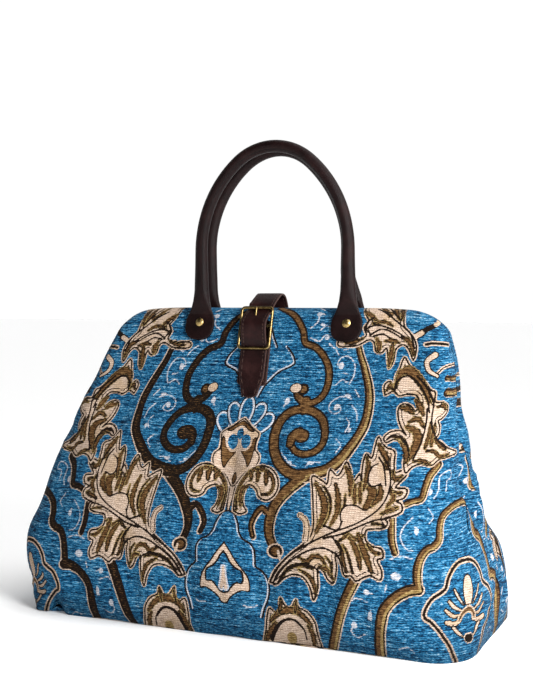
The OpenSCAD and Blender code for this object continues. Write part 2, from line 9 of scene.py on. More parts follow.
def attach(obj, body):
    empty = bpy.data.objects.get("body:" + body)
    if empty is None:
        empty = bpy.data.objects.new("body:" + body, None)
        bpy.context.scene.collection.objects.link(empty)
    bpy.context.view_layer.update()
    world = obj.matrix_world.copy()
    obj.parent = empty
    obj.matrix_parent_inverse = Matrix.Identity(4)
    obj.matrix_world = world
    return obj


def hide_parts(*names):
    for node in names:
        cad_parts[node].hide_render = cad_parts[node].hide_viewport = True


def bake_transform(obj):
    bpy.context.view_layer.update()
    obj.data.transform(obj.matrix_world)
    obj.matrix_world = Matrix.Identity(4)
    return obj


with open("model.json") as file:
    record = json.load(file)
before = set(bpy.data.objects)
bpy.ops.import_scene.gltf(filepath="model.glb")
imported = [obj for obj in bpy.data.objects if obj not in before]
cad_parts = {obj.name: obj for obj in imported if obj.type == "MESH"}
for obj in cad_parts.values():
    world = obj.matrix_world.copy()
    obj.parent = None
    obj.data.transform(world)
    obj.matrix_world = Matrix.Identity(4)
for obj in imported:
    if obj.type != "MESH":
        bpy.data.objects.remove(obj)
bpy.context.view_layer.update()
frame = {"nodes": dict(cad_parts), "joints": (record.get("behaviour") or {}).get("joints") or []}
nodes = frame["nodes"]
joints = {joint["name"]: joint for joint in frame["joints"]}

# Sizes are in millimetres and meshes in metres
MM = 0.001

# Heights taken from the frame
HINGE_HEIGHT = joints["front_frame_hinge"]["pos_m"][2] / MM
SHOULDER_HEIGHT = HINGE_HEIGHT + 60
NECK_HEIGHT = joints["front_handle_swing"]["pos_m"][2] / MM
NECK_Y = joints["front_handle_swing"]["pos_m"][1] / MM

# Sections of the filled bag: height, left and right half-length, half-depth, left and right corner radius
SECTIONS = np.array([
    [0, 229, 235, 105, 12, 38],
    [12, 236, 238, 110, 28, 58],
    [42, 247, 239, 114, 46, 80],
    [76, 250, 234, 111, 46, 78],
    [116, 244, 218, 95, 40, 68],
    [156, 234, 209, 76, 34, 54],
    [196, 219, 205, 56, 27, 40],
    [HINGE_HEIGHT, 203, 199, 37, 20, 24],
    [266, 191, 196, 28.4, 16, 17],
    [SHOULDER_HEIGHT, 179, 191, 20, 14, 14],
], float)
CROWN_HEIGHT = 22
CROWN_CORNER = 40
CROWN_END = math.radians(89.7)
TOP_DROOP = 5.5
DROOP_START = HINGE_HEIGHT + 20
DROOP_LIMIT = 1.1
TOP_FLAT = 105
TOP_MIDDLE = 6
LEAST_LEAN = 0.05
CROWN_ROUNDING = 0.95
LIP_DEPTH = 12
LIP_GAP = 0.05
LIP_TURN = 4
MOUTH_GAP = 0.6
FLOOR_CLEAR = 0.1

# Ends: the tuck between the corners, and the heights where the front and rear cloth close over the gusset
TUCK_DEPTH = 26
TUCK_WIDTH = 32
TUCK_START = 60
TUCK_FULL = 192
GUSSET_CLOSING = 150
GUSSET_TOP = 226
GUSSET_RIPPLE = 0.6

# Frame casing as the part has it, for what is fixed to its sloping face
CASING_BOTTOM = HINGE_HEIGHT + 0.6
CASING_DEPTH = 36
FACE_LEAN = (CASING_DEPTH - SECTIONS[-1, 3]) / (SHOULDER_HEIGHT - CASING_BOTTOM)
FACE_TILT = math.atan(FACE_LEAN)
SEAT = 0.3

# Handles
HANDLE_CENTER = {"front": 10, "rear": 4}
HANDLE_HALF = 82
SPRING_HEIGHT = SHOULDER_HEIGHT + 82
HANDLE_TOP = SHOULDER_HEIGHT + 187
HANDLE_CROWN = 62
RIVET_HEIGHT = SHOULDER_HEIGHT + 6
TAB_RADIUS = 16.5
TAB_DROP = 19
TAB_TOP = 14
TAB_THICKNESS = 3.5

# Strap and buckle
STRAP_CENTER = -5
STRAP_WIDTH = 28
STRAP_THICKNESS = 2.2
STRAP_TAIL = 75
STRAP_LEAN = 5
STRAP_REAR_TAIL = 30
STRAP_ARCH = 14
BUCKLE_HEIGHT = SHOULDER_HEIGHT + 2
BUCKLE_LENGTH = 41
BUCKLE_BAR = 2.8
CHAPE_WIDTH = 33
CHAPE_TAIL = 62
CHAPE_THICKNESS = 2.2

# Fineness of the cloth grids, as columns and rows, and of the lines they follow
FRONT_GRID = (601, 318)
REAR_GRID = (481, 250)
GUSSET_GRID = (110, 150)
WALL_STEPS = 400
CROWN_STEPS = 80
LIP_STEPS = 10


def smoothstep(low, high, x):
    t = np.clip((x - low) / (high - low), 0, 1)
    return t * t * (3 - 2 * t)


# Camera as fitted to the photo, its focal length in pixels of a picture of the given height
CAMERA_PLACE = Vector((479, -1082, 326)) * MM
CAMERA_TILT = math.radians(2.3)
HEADING = Vector((-0.408, 0.913, 0))
FOCAL_PX = 1133
PICTURE_HEIGHT_PX = 691
SENSOR_WIDTH = 36
NEAR_CLIP = 0.01

# Studio, in metres; the edges are cosines from straight behind the bag and heights above the horizon
WHITE = (1, 1, 1, 1)
FLOOR_HALF = 15
FLOOR_COLOR = (0.95, 0.95, 0.95, 1)
FLOOR_ROUGHNESS = 0.9
FLOOR_GLOW = 0.12
WORLD_LEVEL = 0.05
BACKDROP_LEVEL = 1.02
BACKDROP_EDGES = (0.2, 0.75)
LOW_BAND_LEVEL = 0.7
LOW_BAND_EDGES = (0.04, 0.10)
KEY_PLACE = Vector((0.92, -0.66, 0.66))
KEY_TARGET = Vector((0.35, -0.05, 0.15))
KEY_SIZE = 0.45
KEY_POWER = 22
ABOVE_FROM = Vector((0.6, 0.25, 1.0))
ABOVE_WIDTH = math.radians(60)
ABOVE_STRENGTH = 2.4


def make_camera():
    camera = link_object("camera", bpy.data.cameras.new("camera"))
    forward = HEADING.normalized() * math.cos(CAMERA_TILT) + Vector((0, 0, -math.sin(CAMERA_TILT)))
    camera.location = CAMERA_PLACE
    camera.rotation_mode = "QUATERNION"
    camera.rotation_quaternion = forward.to_track_quat("-Z", "Y")
    camera.data.sensor_width = SENSOR_WIDTH
    camera.data.lens = FOCAL_PX * SENSOR_WIDTH / PICTURE_HEIGHT_PX
    camera.data.clip_start = NEAR_CLIP
    bpy.context.scene.camera = camera


def make_floor():
    corners = [(x * FLOOR_HALF, y * FLOOR_HALF, 0) for x, y in ((-1, -1), (1, -1), (1, 1), (-1, 1))]
    mesh = bpy.data.meshes.new("floor")
    mesh.from_pydata(corners, [], [(0, 1, 2, 3)])
    floor = link_object("floor", mesh)
    s = Shading("floor")
    s.surface(Base_Color=FLOOR_COLOR, Roughness=FLOOR_ROUGHNESS)
    s.surface(Emission_Color=WHITE, Emission_Strength=FLOOR_GLOW)
    mesh.materials.append(s.material)


def add_light(name, kind, place, aim, **settings):
    """Light at a place that shines along a direction."""
    lamp = bpy.data.lights.new(name, kind)
    for key, value in settings.items():
        setattr(lamp, key, value)
    light = link_object(name, lamp)
    light.location = place
    light.rotation_mode = "QUATERNION"
    light.rotation_quaternion = aim.to_track_quat("-Z", "Y")


def smooth_range(tree, edges, levels):
    """Node that goes smoothly from one level to another between two edges."""
    node = tree.nodes.new("ShaderNodeMapRange")
    node.interpolation_type = "SMOOTHSTEP"
    for key, value in zip(("From Min", "From Max", "To Min", "To Max"), (*edges, *levels)):
        node.inputs[key].default_value = value
    return node


def make_light():
    """Soft studio: a white backdrop, a low band all round, a near key light and a broad light above."""
    world = bpy.data.worlds.new("studio")
    world.use_nodes = True
    tree = world.node_tree
    place = tree.nodes.new("ShaderNodeTexCoord")
    facing = tree.nodes.new("ShaderNodeVectorMath")
    facing.operation = "DOT_PRODUCT"
    facing.inputs[1].default_value = HEADING
    height = tree.nodes.new("ShaderNodeSeparateXYZ")
    backdrop = smooth_range(tree, BACKDROP_EDGES, (WORLD_LEVEL, BACKDROP_LEVEL))
    low_band = smooth_range(tree, LOW_BAND_EDGES, (LOW_BAND_LEVEL, WORLD_LEVEL))
    brighter = tree.nodes.new("ShaderNodeMath")
    brighter.operation = "MAXIMUM"
    background = tree.nodes["Background"]
    background.inputs["Color"].default_value = WHITE
    links = [
        (place.outputs["Generated"], facing.inputs[0]),
        (place.outputs["Generated"], height.inputs[0]),
        (height.outputs["Z"], low_band.inputs["Value"]),
        (facing.outputs["Value"], backdrop.inputs["Value"]),
        (backdrop.outputs["Result"], brighter.inputs[0]),
        (low_band.outputs["Result"], brighter.inputs[1]),
        (brighter.outputs[0], background.inputs["Strength"]),
    ]
    for source, target in links:
        tree.links.new(source, target)
    scene = bpy.context.scene
    scene.world = world
    scene.view_settings.view_transform = "Standard"
    add_light("key", "AREA", KEY_PLACE, KEY_TARGET - KEY_PLACE, shape="DISK", size=KEY_SIZE, energy=KEY_POWER)
    add_light("above", "SUN", (0, 0, 0), -ABOVE_FROM, angle=ABOVE_WIDTH, energy=ABOVE_STRENGTH)


# Mesh helpers
def link_object(name, data):
    piece = bpy.data.objects.new(name, data)
    bpy.context.scene.collection.objects.link(piece)
    return piece


def grid_piece(name, points, wrap=False, flip=False):
    """Mesh of a grid of points in millimetres, rows by columns; wrap joins the last column to the first."""
    rows, columns = points.shape[:2]
    index = np.arange(rows * columns).reshape(rows, columns)
    if wrap:
        index = np.concatenate([index, index[:, :1]], axis=1)
    corners = [index[:-1, :-1], index[:-1, 1:], index[1:, 1:], index[1:, :-1]]
    if flip:
        corners.reverse()
    faces = np.stack(corners, -1).reshape(-1, 4)
    mesh = bpy.data.meshes.new(name)
    mesh.from_pydata((points.reshape(-1, 3) * MM).tolist(), [], faces.tolist())
    mesh.polygons.foreach_set("use_smooth", np.ones(len(mesh.polygons), bool))
    return link_object(name, mesh)


def set_attribute(piece, name, values):
    attribute = piece.data.attributes.new(name, "FLOAT", "POINT")
    attribute.data.foreach_set("value", np.asarray(values, np.float32).ravel())


def set_uv(piece, u, v):
    """UV map in metres from values at the points, in millimetres."""
    mesh = piece.data
    loops = np.zeros(len(mesh.loops), np.int32)
    mesh.loops.foreach_get("vertex_index", loops)
    flat = np.stack([np.ravel(u), np.ravel(v)], -1)[loops] * MM
    layer = mesh.uv_layers.new(name="cloth")
    layer.data.foreach_set("uv", flat.astype(np.float32).ravel())


def through(points, steps):
    """Smooth curve through points, with the given steps to each stretch."""
    p = np.asarray(points, float)
    padded = np.concatenate([2 * p[:1] - p[1:2], p, 2 * p[-1:] - p[-2:-1]])
    t = np.arange(steps)[:, None] / steps
    parts = []
    for p0, p1, p2, p3 in zip(padded[:-3], padded[1:-2], padded[2:-1], padded[3:]):
        parts.append(0.5 * (2 * p1 + (p2 - p0) * t + (2 * p0 - 5 * p1 + 4 * p2 - p3) * t**2
                            + (3 * p1 - p0 - 3 * p2 + p3) * t**3))
    parts.append(p[-1:])
    return np.concatenate(parts)


def way_along(path):
    """Length along a path at each of its points."""
    return np.concatenate([[0], np.cumsum(np.linalg.norm(np.diff(path, axis=0), axis=1))])


# Shape of the filled cloth body
def section_slopes():
    height, value = SECTIONS[:, 0], SECTIONS[:, 1:]
    step = np.diff(value, axis=0) / np.diff(height)[:, None]
    slope = np.zeros_like(value)
    same_way = step[1:] * step[:-1] > 0
    total = np.where(same_way, step[1:] + step[:-1], 1)
    slope[1:-1] = np.where(same_way, 2 * step[1:] * step[:-1] / total, 0)
    slope[0], slope[-1] = step[0], step[-1]
    return slope


SLOPES = section_slopes()


def section_at(height):
    """Left and right half-length, half-depth and corner radii at heights up to the shoulder."""
    last = len(SECTIONS) - 2
    i = np.clip(np.searchsorted(SECTIONS[:, 0], height, side="right") - 1, 0, last)
    span = (SECTIONS[i + 1, 0] - SECTIONS[i, 0])[:, None]
    t = (height - SECTIONS[i, 0])[:, None] / span
    return ((2 * t**3 - 3 * t**2 + 1) * SECTIONS[i, 1:] + (t**3 - 2 * t**2 + t) * span * SLOPES[i]
            + (3 * t**2 - 2 * t**3) * SECTIONS[i + 1, 1:] + (t**3 - t**2) * span * SLOPES[i + 1])


def rolled(rise, reach, lean):
    """Reach of the rolled top at a rise above the shoulder, from its reach and lean at the shoulder."""
    start = lean * CROWN_HEIGHT / (reach - lean * CROWN_HEIGHT)
    sine = start + rise * (1 - start) / CROWN_HEIGHT
    return reach / math.sqrt(1 - start**2) * np.sqrt(np.maximum(0, 1 - sine**2))


def cloth_rows(count):
    """Rows at equal steps up the cloth: height, the five section values, and the way up the cloth."""
    wall = np.linspace(0, SHOULDER_HEIGHT, WALL_STEPS)
    shoulder = SECTIONS[-1]
    lean_left, lean_right, lean_front = -SLOPES[-1, :3]
    start = lean_front * CROWN_HEIGHT / (shoulder[3] - lean_front * CROWN_HEIGHT)
    turn = np.linspace(math.asin(start), CROWN_END, CROWN_STEPS)[1:]
    rise = CROWN_HEIGHT / (1 - start) * (np.sin(turn) - start)
    depth = rolled(rise, shoulder[3], lean_front)
    crown = np.stack([
        shoulder[1] - CROWN_CORNER + rolled(rise, CROWN_CORNER, lean_left),
        shoulder[2] - CROWN_CORNER + rolled(rise, CROWN_CORNER, max(lean_right, LEAST_LEAN)),
        depth,
        np.minimum(shoulder[4], CROWN_ROUNDING * depth),
        np.minimum(shoulder[5], CROWN_ROUNDING * depth),
    ], -1)
    lip = np.linspace(1 / LIP_STEPS, 1, LIP_STEPS)[:, None]
    lip_end = np.array([crown[-1, 0], crown[-1, 1], LIP_GAP, LIP_GAP / 2, LIP_GAP / 2])
    lip_section = crown[-1] + (lip_end - crown[-1]) * np.minimum(1, LIP_TURN * lip)
    top = SHOULDER_HEIGHT + rise[-1]
    height = np.concatenate([wall, SHOULDER_HEIGHT + rise, top - LIP_DEPTH * lip[:, 0]])
    values = np.concatenate([section_at(wall), crown, lip_section])
    way = np.concatenate([[0], np.cumsum(np.hypot(np.diff(height), np.diff(values[:, 2])))])
    at = np.linspace(0, way[-1], count)
    return (np.interp(at, way, height), *[np.interp(at, way, values[:, i]) for i in range(5)], at)


def tuck_at(height):
    """Depth of the inward tuck of the ends at a height."""
    rising = smoothstep(TUCK_START, TUCK_FULL, height)
    falling = 1 - smoothstep(TUCK_FULL, HINGE_HEIGHT, height)
    return TUCK_DEPTH * rising * falling


def end_line(reach, y, width, height):
    """Distance from the middle plane of an end at a distance y from its middle."""
    share = (1 + np.cos(np.pi * np.clip(y / np.maximum(width, 1), -1, 1))) / 2
    return reach - tuck_at(height) * np.minimum(1, width / TUCK_WIDTH) * share


def end_share(height):
    """How much of an end the front and rear cloth cover, from none low down to all at the hinge."""
    return smoothstep(GUSSET_CLOSING, GUSSET_TOP, height)


def front_shape(grid):
    """Points of the front cloth as rows by columns, with the way along and up the cloth at each."""
    columns, count = grid
    rows = [value[:, None] for value in cloth_rows(count)]
    height, left, right, depth, corner_left, corner_right, way = rows
    sides = []
    for reach, corner in ((left, corner_left), (right, corner_right)):
        end = np.maximum(depth - corner - MOUTH_GAP, 0) * end_share(height)
        sides.append((reach - corner, corner * math.pi / 2, end))
    whole_left, whole_right = [sum(parts) for parts in sides]
    u = np.linspace(0, 1, columns)[None, :] * (whole_left + whole_right) - whole_left
    on_right = u > 0
    side = np.where(on_right, 1.0, -1.0)
    flat = np.where(on_right, sides[1][0], sides[0][0])
    reach = np.where(on_right, right, left)
    corner = np.where(on_right, corner_right, corner_left)
    past = np.maximum(np.abs(u) - flat, 0)
    turn = np.clip(past / corner, 0, math.pi / 2)
    beyond = np.maximum(past - corner * math.pi / 2, 0)
    y = -(depth - corner) - corner * np.cos(turn) + beyond
    end_x = end_line(reach, y, depth - corner, height)
    corner_x = reach - corner + corner * np.sin(turn)
    x = np.where(past > 0, side * np.where(beyond > 0, end_x, corner_x), u)
    from_flat = (np.abs(x - TOP_MIDDLE) - TOP_FLAT) / (SECTIONS[-1, 1] - TOP_FLAT)
    droop = TOP_DROOP * np.clip(from_flat, 0, DROOP_LIMIT)**2
    z = height - droop * smoothstep(DROOP_START, SHOULDER_HEIGHT + CROWN_HEIGHT, height)
    return np.stack([x, y, z], -1), u, np.broadcast_to(way, u.shape)


def outward(points):
    """Unit normals of a grid of points, by differences."""
    along = np.gradient(points, axis=1)
    up = np.gradient(points, axis=0)
    normal = np.cross(along, up)
    return normal / np.maximum(np.linalg.norm(normal, axis=-1, keepdims=True), 1e-9)


# Soft unevenness of the padded cloth: scale of the wave along and up, phase and height
RIPPLES = [
    (37, 71, 0.3, 0.8), (-53, 44, 1.9, 0.7), (24, -95, 4.1, 0.45), (81, 29, 2.6, 0.55), (-19, 33, 5.2, 0.25),
]

# Swellings and dents that the filled front shows, and the pucker of its base: place, size, height
FRONT_BUMPS = [
    ((205, 190), (10, 40), -2.5),
    ((190, 120), (30, 30), 2),
    ((-205, 150), (12, 50), -2.5),
    ((-196, 6), (7, 26), -5),
    ((-150, 20), (40, 14), 2),
    ((60, 14), (60, 10), -2),
]
FOLDS_FADE = (235, 275)
BASE_PUCKER = ((-196, 0), (8, 16), 7)
BASE_WAVE = 0.7
BASE_WAVE_SCALE = 21
BASE_WAVE_PHASE = 0.8
BASE_WAVE_REACH = 9


def ripple(u, v):
    total = np.zeros_like(u)
    for scale_u, scale_v, phase, size in RIPPLES:
        total += size * np.sin(u / scale_u * 2 + v / scale_v * 2 + phase)
    return total


def bump_at(u, v, place, size, height):
    """Smooth swelling of the given size and height round a place."""
    return height * np.exp(-((u - place[0]) / size[0])**2 - ((v - place[1]) / size[1])**2)


def front_folds(u, v):
    """Folds and dents of the front, none on the frame."""
    folds = ripple(u, v)
    for place, size, height in FRONT_BUMPS:
        folds += bump_at(u, v, place, size, height)
    return folds * (1 - smoothstep(*FOLDS_FADE, v))


def base_lift(u, v):
    """How much the lower edge rises: a pucker by the left corner, and slight waves along the edge."""
    waves = BASE_WAVE * (1 + np.sin(u / BASE_WAVE_SCALE + BASE_WAVE_PHASE))
    return bump_at(u, v, *BASE_PUCKER) + waves * np.exp(-(v / BASE_WAVE_REACH)**2)


# Soft folds of the filled body, from a cloth simulation of a shell of slightly too much cloth under pressure
SWELL_CAP = 4
DENT_CAP = 3
SWELL_ROWS = np.linspace(0, HINGE_HEIGHT, 31)
SWELL_TURNS = np.linspace(-math.pi, math.pi, 361)
SWELL_FULL = 40
SWELL_FADE = (HINGE_HEIGHT - 50, HINGE_HEIGHT - 6)
HELD_BELOW = 8
HELD_ABOVE = HINGE_HEIGHT - 12
BROAD_ROWS = 4.0
BROAD_TURNS = 14.0
FIRST_FRAME, LAST_FRAME = 1, 20
SPARE_CLOTH = 0.035
SHELL_CLOTH = dict(
    vertex_group_mass="pins", use_pressure=True, uniform_pressure_force=4, shrink_min=-SPARE_CLOTH, mass=0.3,
    tension_stiffness=12, compression_stiffness=12, bending_stiffness=1.5,
)


def turn_at(points):
    """Angle of points round the middle of their section, with the section drawn out to a square."""
    section = section_at(np.clip(points[..., 2].ravel(), 0, SHOULDER_HEIGHT))
    x, y = points[..., 0].ravel(), points[..., 1].ravel()
    reach = np.where(x > 0, section[:, 1], section[:, 0])
    return np.arctan2(y / section[:, 2], x / reach).reshape(points.shape[:-1])


def simulate_swelling():
    """How far a shell of the body folds in and out under pressure, by height and angle."""
    start = np.array([ring_at(height, 0, 2) for height in SWELL_ROWS])
    shell = grid_piece("swelling_shell", start, wrap=True, flip=True)
    pins = shell.vertex_groups.new(name="pins")
    held = np.repeat((SWELL_ROWS < HELD_BELOW) | (SWELL_ROWS > HELD_ABOVE), start.shape[1])
    pins.add(np.nonzero(held)[0].tolist(), 1.0, "REPLACE")
    cloth = shell.modifiers.new("cloth", "CLOTH")
    for key, value in SHELL_CLOTH.items():
        setattr(cloth.settings, key, value)
    cloth.settings.effector_weights.gravity = 0
    cloth.point_cache.frame_start = FIRST_FRAME
    cloth.point_cache.frame_end = LAST_FRAME
    scene = bpy.context.scene
    for number in range(FIRST_FRAME, LAST_FRAME + 1):
        scene.frame_set(number)
    result = shell.evaluated_get(bpy.context.evaluated_depsgraph_get()).to_mesh()
    moved = np.zeros(len(result.vertices) * 3)
    result.vertices.foreach_get("co", moved)
    moved = moved.reshape(start.shape) / MM
    scene.frame_set(FIRST_FRAME)
    mesh = shell.data
    bpy.data.objects.remove(shell)
    bpy.data.meshes.remove(mesh)
    normal = -outward(np.concatenate([start, start[:, :1]], 1))[:, :-1]
    swell = np.sum((moved - start) * normal, -1)
    table = []
    for row, points in zip(swell, start):
        turn = turn_at(points)
        table.append(np.interp(SWELL_TURNS, *period_sorted(turn, row)))
    table = np.array(table)
    free = smoothstep(0, SWELL_FULL, SWELL_ROWS) * (1 - smoothstep(*SWELL_FADE, SWELL_ROWS))
    return np.clip(table - broad_part(table), -DENT_CAP, SWELL_CAP) * free[:, None]


def broad_part(table):
    """The broad change of shape in a table of rows by angles, which the fitted sections already have."""
    rows, turns = table.shape
    near_rows = np.exp(-((np.arange(rows)[:, None] - np.arange(rows)[None, :]) / BROAD_ROWS)**2)
    apart = np.abs(np.arange(turns)[:, None] - np.arange(turns)[None, :])
    near_turns = np.exp(-(np.minimum(apart, turns - apart) / BROAD_TURNS)**2)
    near_rows /= near_rows.sum(1, keepdims=True)
    near_turns /= near_turns.sum(1, keepdims=True)
    return near_rows @ table @ near_turns.T


def period_sorted(turn, values):
    """Angles in order with one copy a full turn before and after, and their values."""
    order = np.argsort(turn)
    turn, values = turn[order], values[order]
    full = 2 * math.pi
    return np.concatenate([turn - full, turn, turn + full]), np.tile(values, 3)


def swelling(points):
    """Swelling of the body at points, none above the hinge."""
    row = np.clip(points[..., 2] / HINGE_HEIGHT, 0, 1) * (len(SWELL_ROWS) - 1)
    column = (turn_at(points) + math.pi) / (2 * math.pi) * (len(SWELL_TURNS) - 1)
    r = np.minimum(row.astype(int), len(SWELL_ROWS) - 2)
    c = np.clip(column.astype(int), 0, len(SWELL_TURNS) - 2)
    a, b = row - r, column - c
    t = SWELL_TABLE
    value = (t[r, c] * (1 - a) * (1 - b) + t[r + 1, c] * a * (1 - b)
             + t[r, c + 1] * (1 - a) * b + t[r + 1, c + 1] * a * b)
    return np.where(points[..., 2] > HINGE_HEIGHT, 0, value)


# Ornament: motifs of the damask, drawn for the right half as (along, up) in millimetres
AXIS_HEIGHTS = [0, 60, 130, 205, 240, 280, 347]
AXIS_PLACES = [1.5, 1.5, -4, -7, -5, 1, 3]
REPEAT = 243
LEFT_SQUEEZE = 0.05
LEFT_SKEW = 0.055
LEFT_FULL = 60
SQUEEZE_FADE = (210, 290)

# Scrolling bands: width at each end, whether a cream edge shows, then the points of the middle line
BANDS = [
    (10, 9, True, [(136, 75), (128, 58), (121, 40), (115, 20), (110, 2), (108, -10)]),
    (8, 8, True, [(244, 143), (232, 142), (222, 139), (213, 132), (210, 122), (210, 111), (205, 105),
     (197, 101), (192, 92), (191, 80), (193, 67)]),
    (10, 10, True, [(193, 67), (182, 65), (171, 58), (163, 48), (160, 36), (158, 20), (157, 0),
     (157, -10)]),
    (6, 8, True, [(168, 142), (178, 147), (187, 150), (189, 160), (192, 172), (200, 183)]),
    (7, 6, True, [(161, 138), (163, 121), (165, 109), (169, 99)]),
    (7, 5, True, [(39, 126), (32, 130), (26, 123), (23, 113), (26, 103)]),
    (13, 9, True, [(70, 163), (58, 151), (48, 138), (42, 124), (41, 110), (45, 100), (51, 93)]),
    (6, 13, True, [(104, 306), (109, 291), (115, 276), (120, 261), (123, 245), (123, 228), (119, 210),
     (111, 195), (102, 182), (90, 172), (72, 165)]),
    (13, 8, False, [(80, 167), (60, 165), (44, 174), (34, 188), (30, 203), (32, 218), (40, 229), (52, 234),
     (65, 233), (76, 226), (82, 214), (83, 202), (77, 192), (67, 187), (57, 189), (50, 196)]),
    (8, 9, False, [(14, 344), (33, 332), (45, 316), (49, 303), (61, 298), (72, 287), (78, 271), (76, 255),
     (69, 245), (58, 241), (49, 246), (46, 252)]),
    (12, 12, False, [(56, 243), (56, 234)]), (5, 5, True, [(198, 270), (214, 269), (244, 270)]),
    (8, 8, True, [(200, 256), (214, 255), (244, 256)]),
]
SPIRAL_END = (16, [(49, 196), (50, 204), (55, 208), (59, 206)])
BUD = ((44, 256), (5.5, 4.5))
BUD_CURL = ((52, 255), (5, 5))
BAND_BALL = ((51, 91), (7.5, 6))
BALL_LIGHT = [(54, 91), (57, 84)]

# Fine dark lines with a pale side
LINES = [
    [(5, 245), (9, 255), (14, 262), (24, 272), (36, 278), (40, 282), (37, 290), (30, 298)],
    [(11, 317), (14, 308), (19, 298)],
    [(-6, 126), (3, 123), (9, 114), (12, 105), (17, 99), (24, 96), (29, 90), (31, 80), (32, 74), (39, 70),
     (45, 64), (48, 54), (47, 44), (43, 34), (41, 26)],
]
END_LINE = [(188, 275), (195, 281), (210, 283), (244, 283)]
CARTOUCHE = [
    (229, -10), (227, 0), (222, 15), (214, 28), (206, 37), (200, 41), (200, 48), (206, 58), (214, 63),
    (219, 67), (221, 75), (226, 83), (234, 88), (244, 89),
]

# Leaves: outline, shaded blades as width and line, fine ribs
SIDE_LEAF = dict(
    outline=[
        (48, 61), (52, 71), (60, 81), (70, 91), (80, 99), (87, 108), (88, 120), (85, 135), (82, 150),
        (79, 165), (90, 161), (95, 159), (95, 173), (102, 168), (106, 171), (110, 182), (115, 175),
        (118, 164), (121, 164), (125, 171), (128, 163), (127, 172), (127, 183), (129, 191), (134, 187),
        (136, 190), (138, 208), (143, 203), (148, 198), (156, 195), (157, 184), (159, 175), (165, 177),
        (170, 173), (164, 165), (162, 160), (172, 159), (171, 151), (164, 147), (169, 144), (170, 137),
        (162, 132), (156, 130), (159, 126), (157, 121), (146, 119), (140, 117), (141, 108), (148, 103),
        (157, 101), (159, 94), (154, 91), (159, 82), (158, 74), (149, 77), (143, 75), (136, 71), (131, 75),
        (124, 75), (120, 84), (117, 90), (113, 91), (115, 82), (113, 67), (107, 69), (102, 77), (97, 78),
        (98, 62), (94, 49), (91, 60), (84, 69), (74, 71), (64, 67), (56, 60),
    ],
    shades=[
        (9, [(84, 157), (90, 150), (95, 141), (97, 131), (95, 120), (92, 112)]),
        (7, [(103, 159), (107, 149), (109, 139), (109, 130), (105, 119)]),
        (7, [(110, 177), (115, 169), (118, 160), (119, 150)]), (5.5, [(122, 160), (123, 151), (125, 142)]),
        (5, [(127, 162), (128, 152), (130, 143)]), (6, [(130, 187), (133, 178), (132, 166), (131, 156)]),
        (13, [(136, 158), (141, 153), (140, 145), (135, 138)]), (8, [(147, 160), (148, 151), (142, 142)]),
        (7, [(140, 201), (144, 195), (149, 188), (151, 178)]), (5.5, [(157, 158), (161, 150), (156, 141)]),
        (4.5, [(152, 134), (159, 138), (166, 141)]), (4.5, [(157, 176), (160, 168), (166, 172)]),
        (4, [(161, 156), (167, 155)]), (4.5, [(116, 105), (124, 111), (131, 108), (138, 112)]),
        (7, [(125, 109), (131, 102), (136, 93), (139, 82)]),
        (8, [(133, 113), (138, 103), (144, 92), (150, 80)]), (4, [(143, 104), (150, 98), (156, 97)]),
        (4.5, [(113, 104), (119, 97), (122, 87), (126, 78)]),
        (5, [(77, 87), (86, 84), (92, 89), (100, 88), (106, 79)]),
        (4, [(60, 66), (68, 76), (80, 80), (92, 78)]), (4.5, [(79, 76), (89, 71), (94, 64), (96, 54)]),
        (5, [(99, 80), (106, 78), (112, 70)]),
        (2.2, [(92, 156), (99, 147), (102, 137), (102, 127), (98, 117)]),
        (2.2, [(120, 102), (125, 95), (129, 86), (132, 78)]), (2, [(114, 150), (115, 140), (113, 131)]),
        (2, [(104, 90), (109, 84), (110, 74)]), (2, [(145, 124), (151, 124), (156, 123)]),
    ],
    ribs=[
        [(49, 63), (58, 78), (70, 90), (84, 99), (98, 107), (112, 114), (126, 121), (140, 130), (150, 140),
         (155, 152), (156, 166), (152, 180), (146, 190)],
        [(52, 61), (62, 76), (76, 88), (90, 95), (102, 97), (112, 94), (117, 92), (119, 97), (115, 103),
         (109, 107)],
        [(57, 61), (66, 74), (79, 81), (92, 80), (99, 75)],
        [(100, 106), (116, 111), (132, 120), (146, 127), (158, 130), (166, 134)],
        [(142, 188), (147, 181), (150, 171), (152, 161)], [(98, 118), (112, 115), (116, 124)],
    ],
)
SIDE_EYES = [((141, 171), (7.5, 9.5)), ((123, 131), (10, 9))]
SIDE_EYE_LINES = [
    [(147, 163), (140, 160), (135, 163), (134, 171), (137, 179), (142, 182)],
    [(133, 137), (126, 140), (117, 139), (113, 132), (115, 122)],
]
TENDRIL = (6, [(82, 104), (82, 114), (79, 122), (73, 126)])
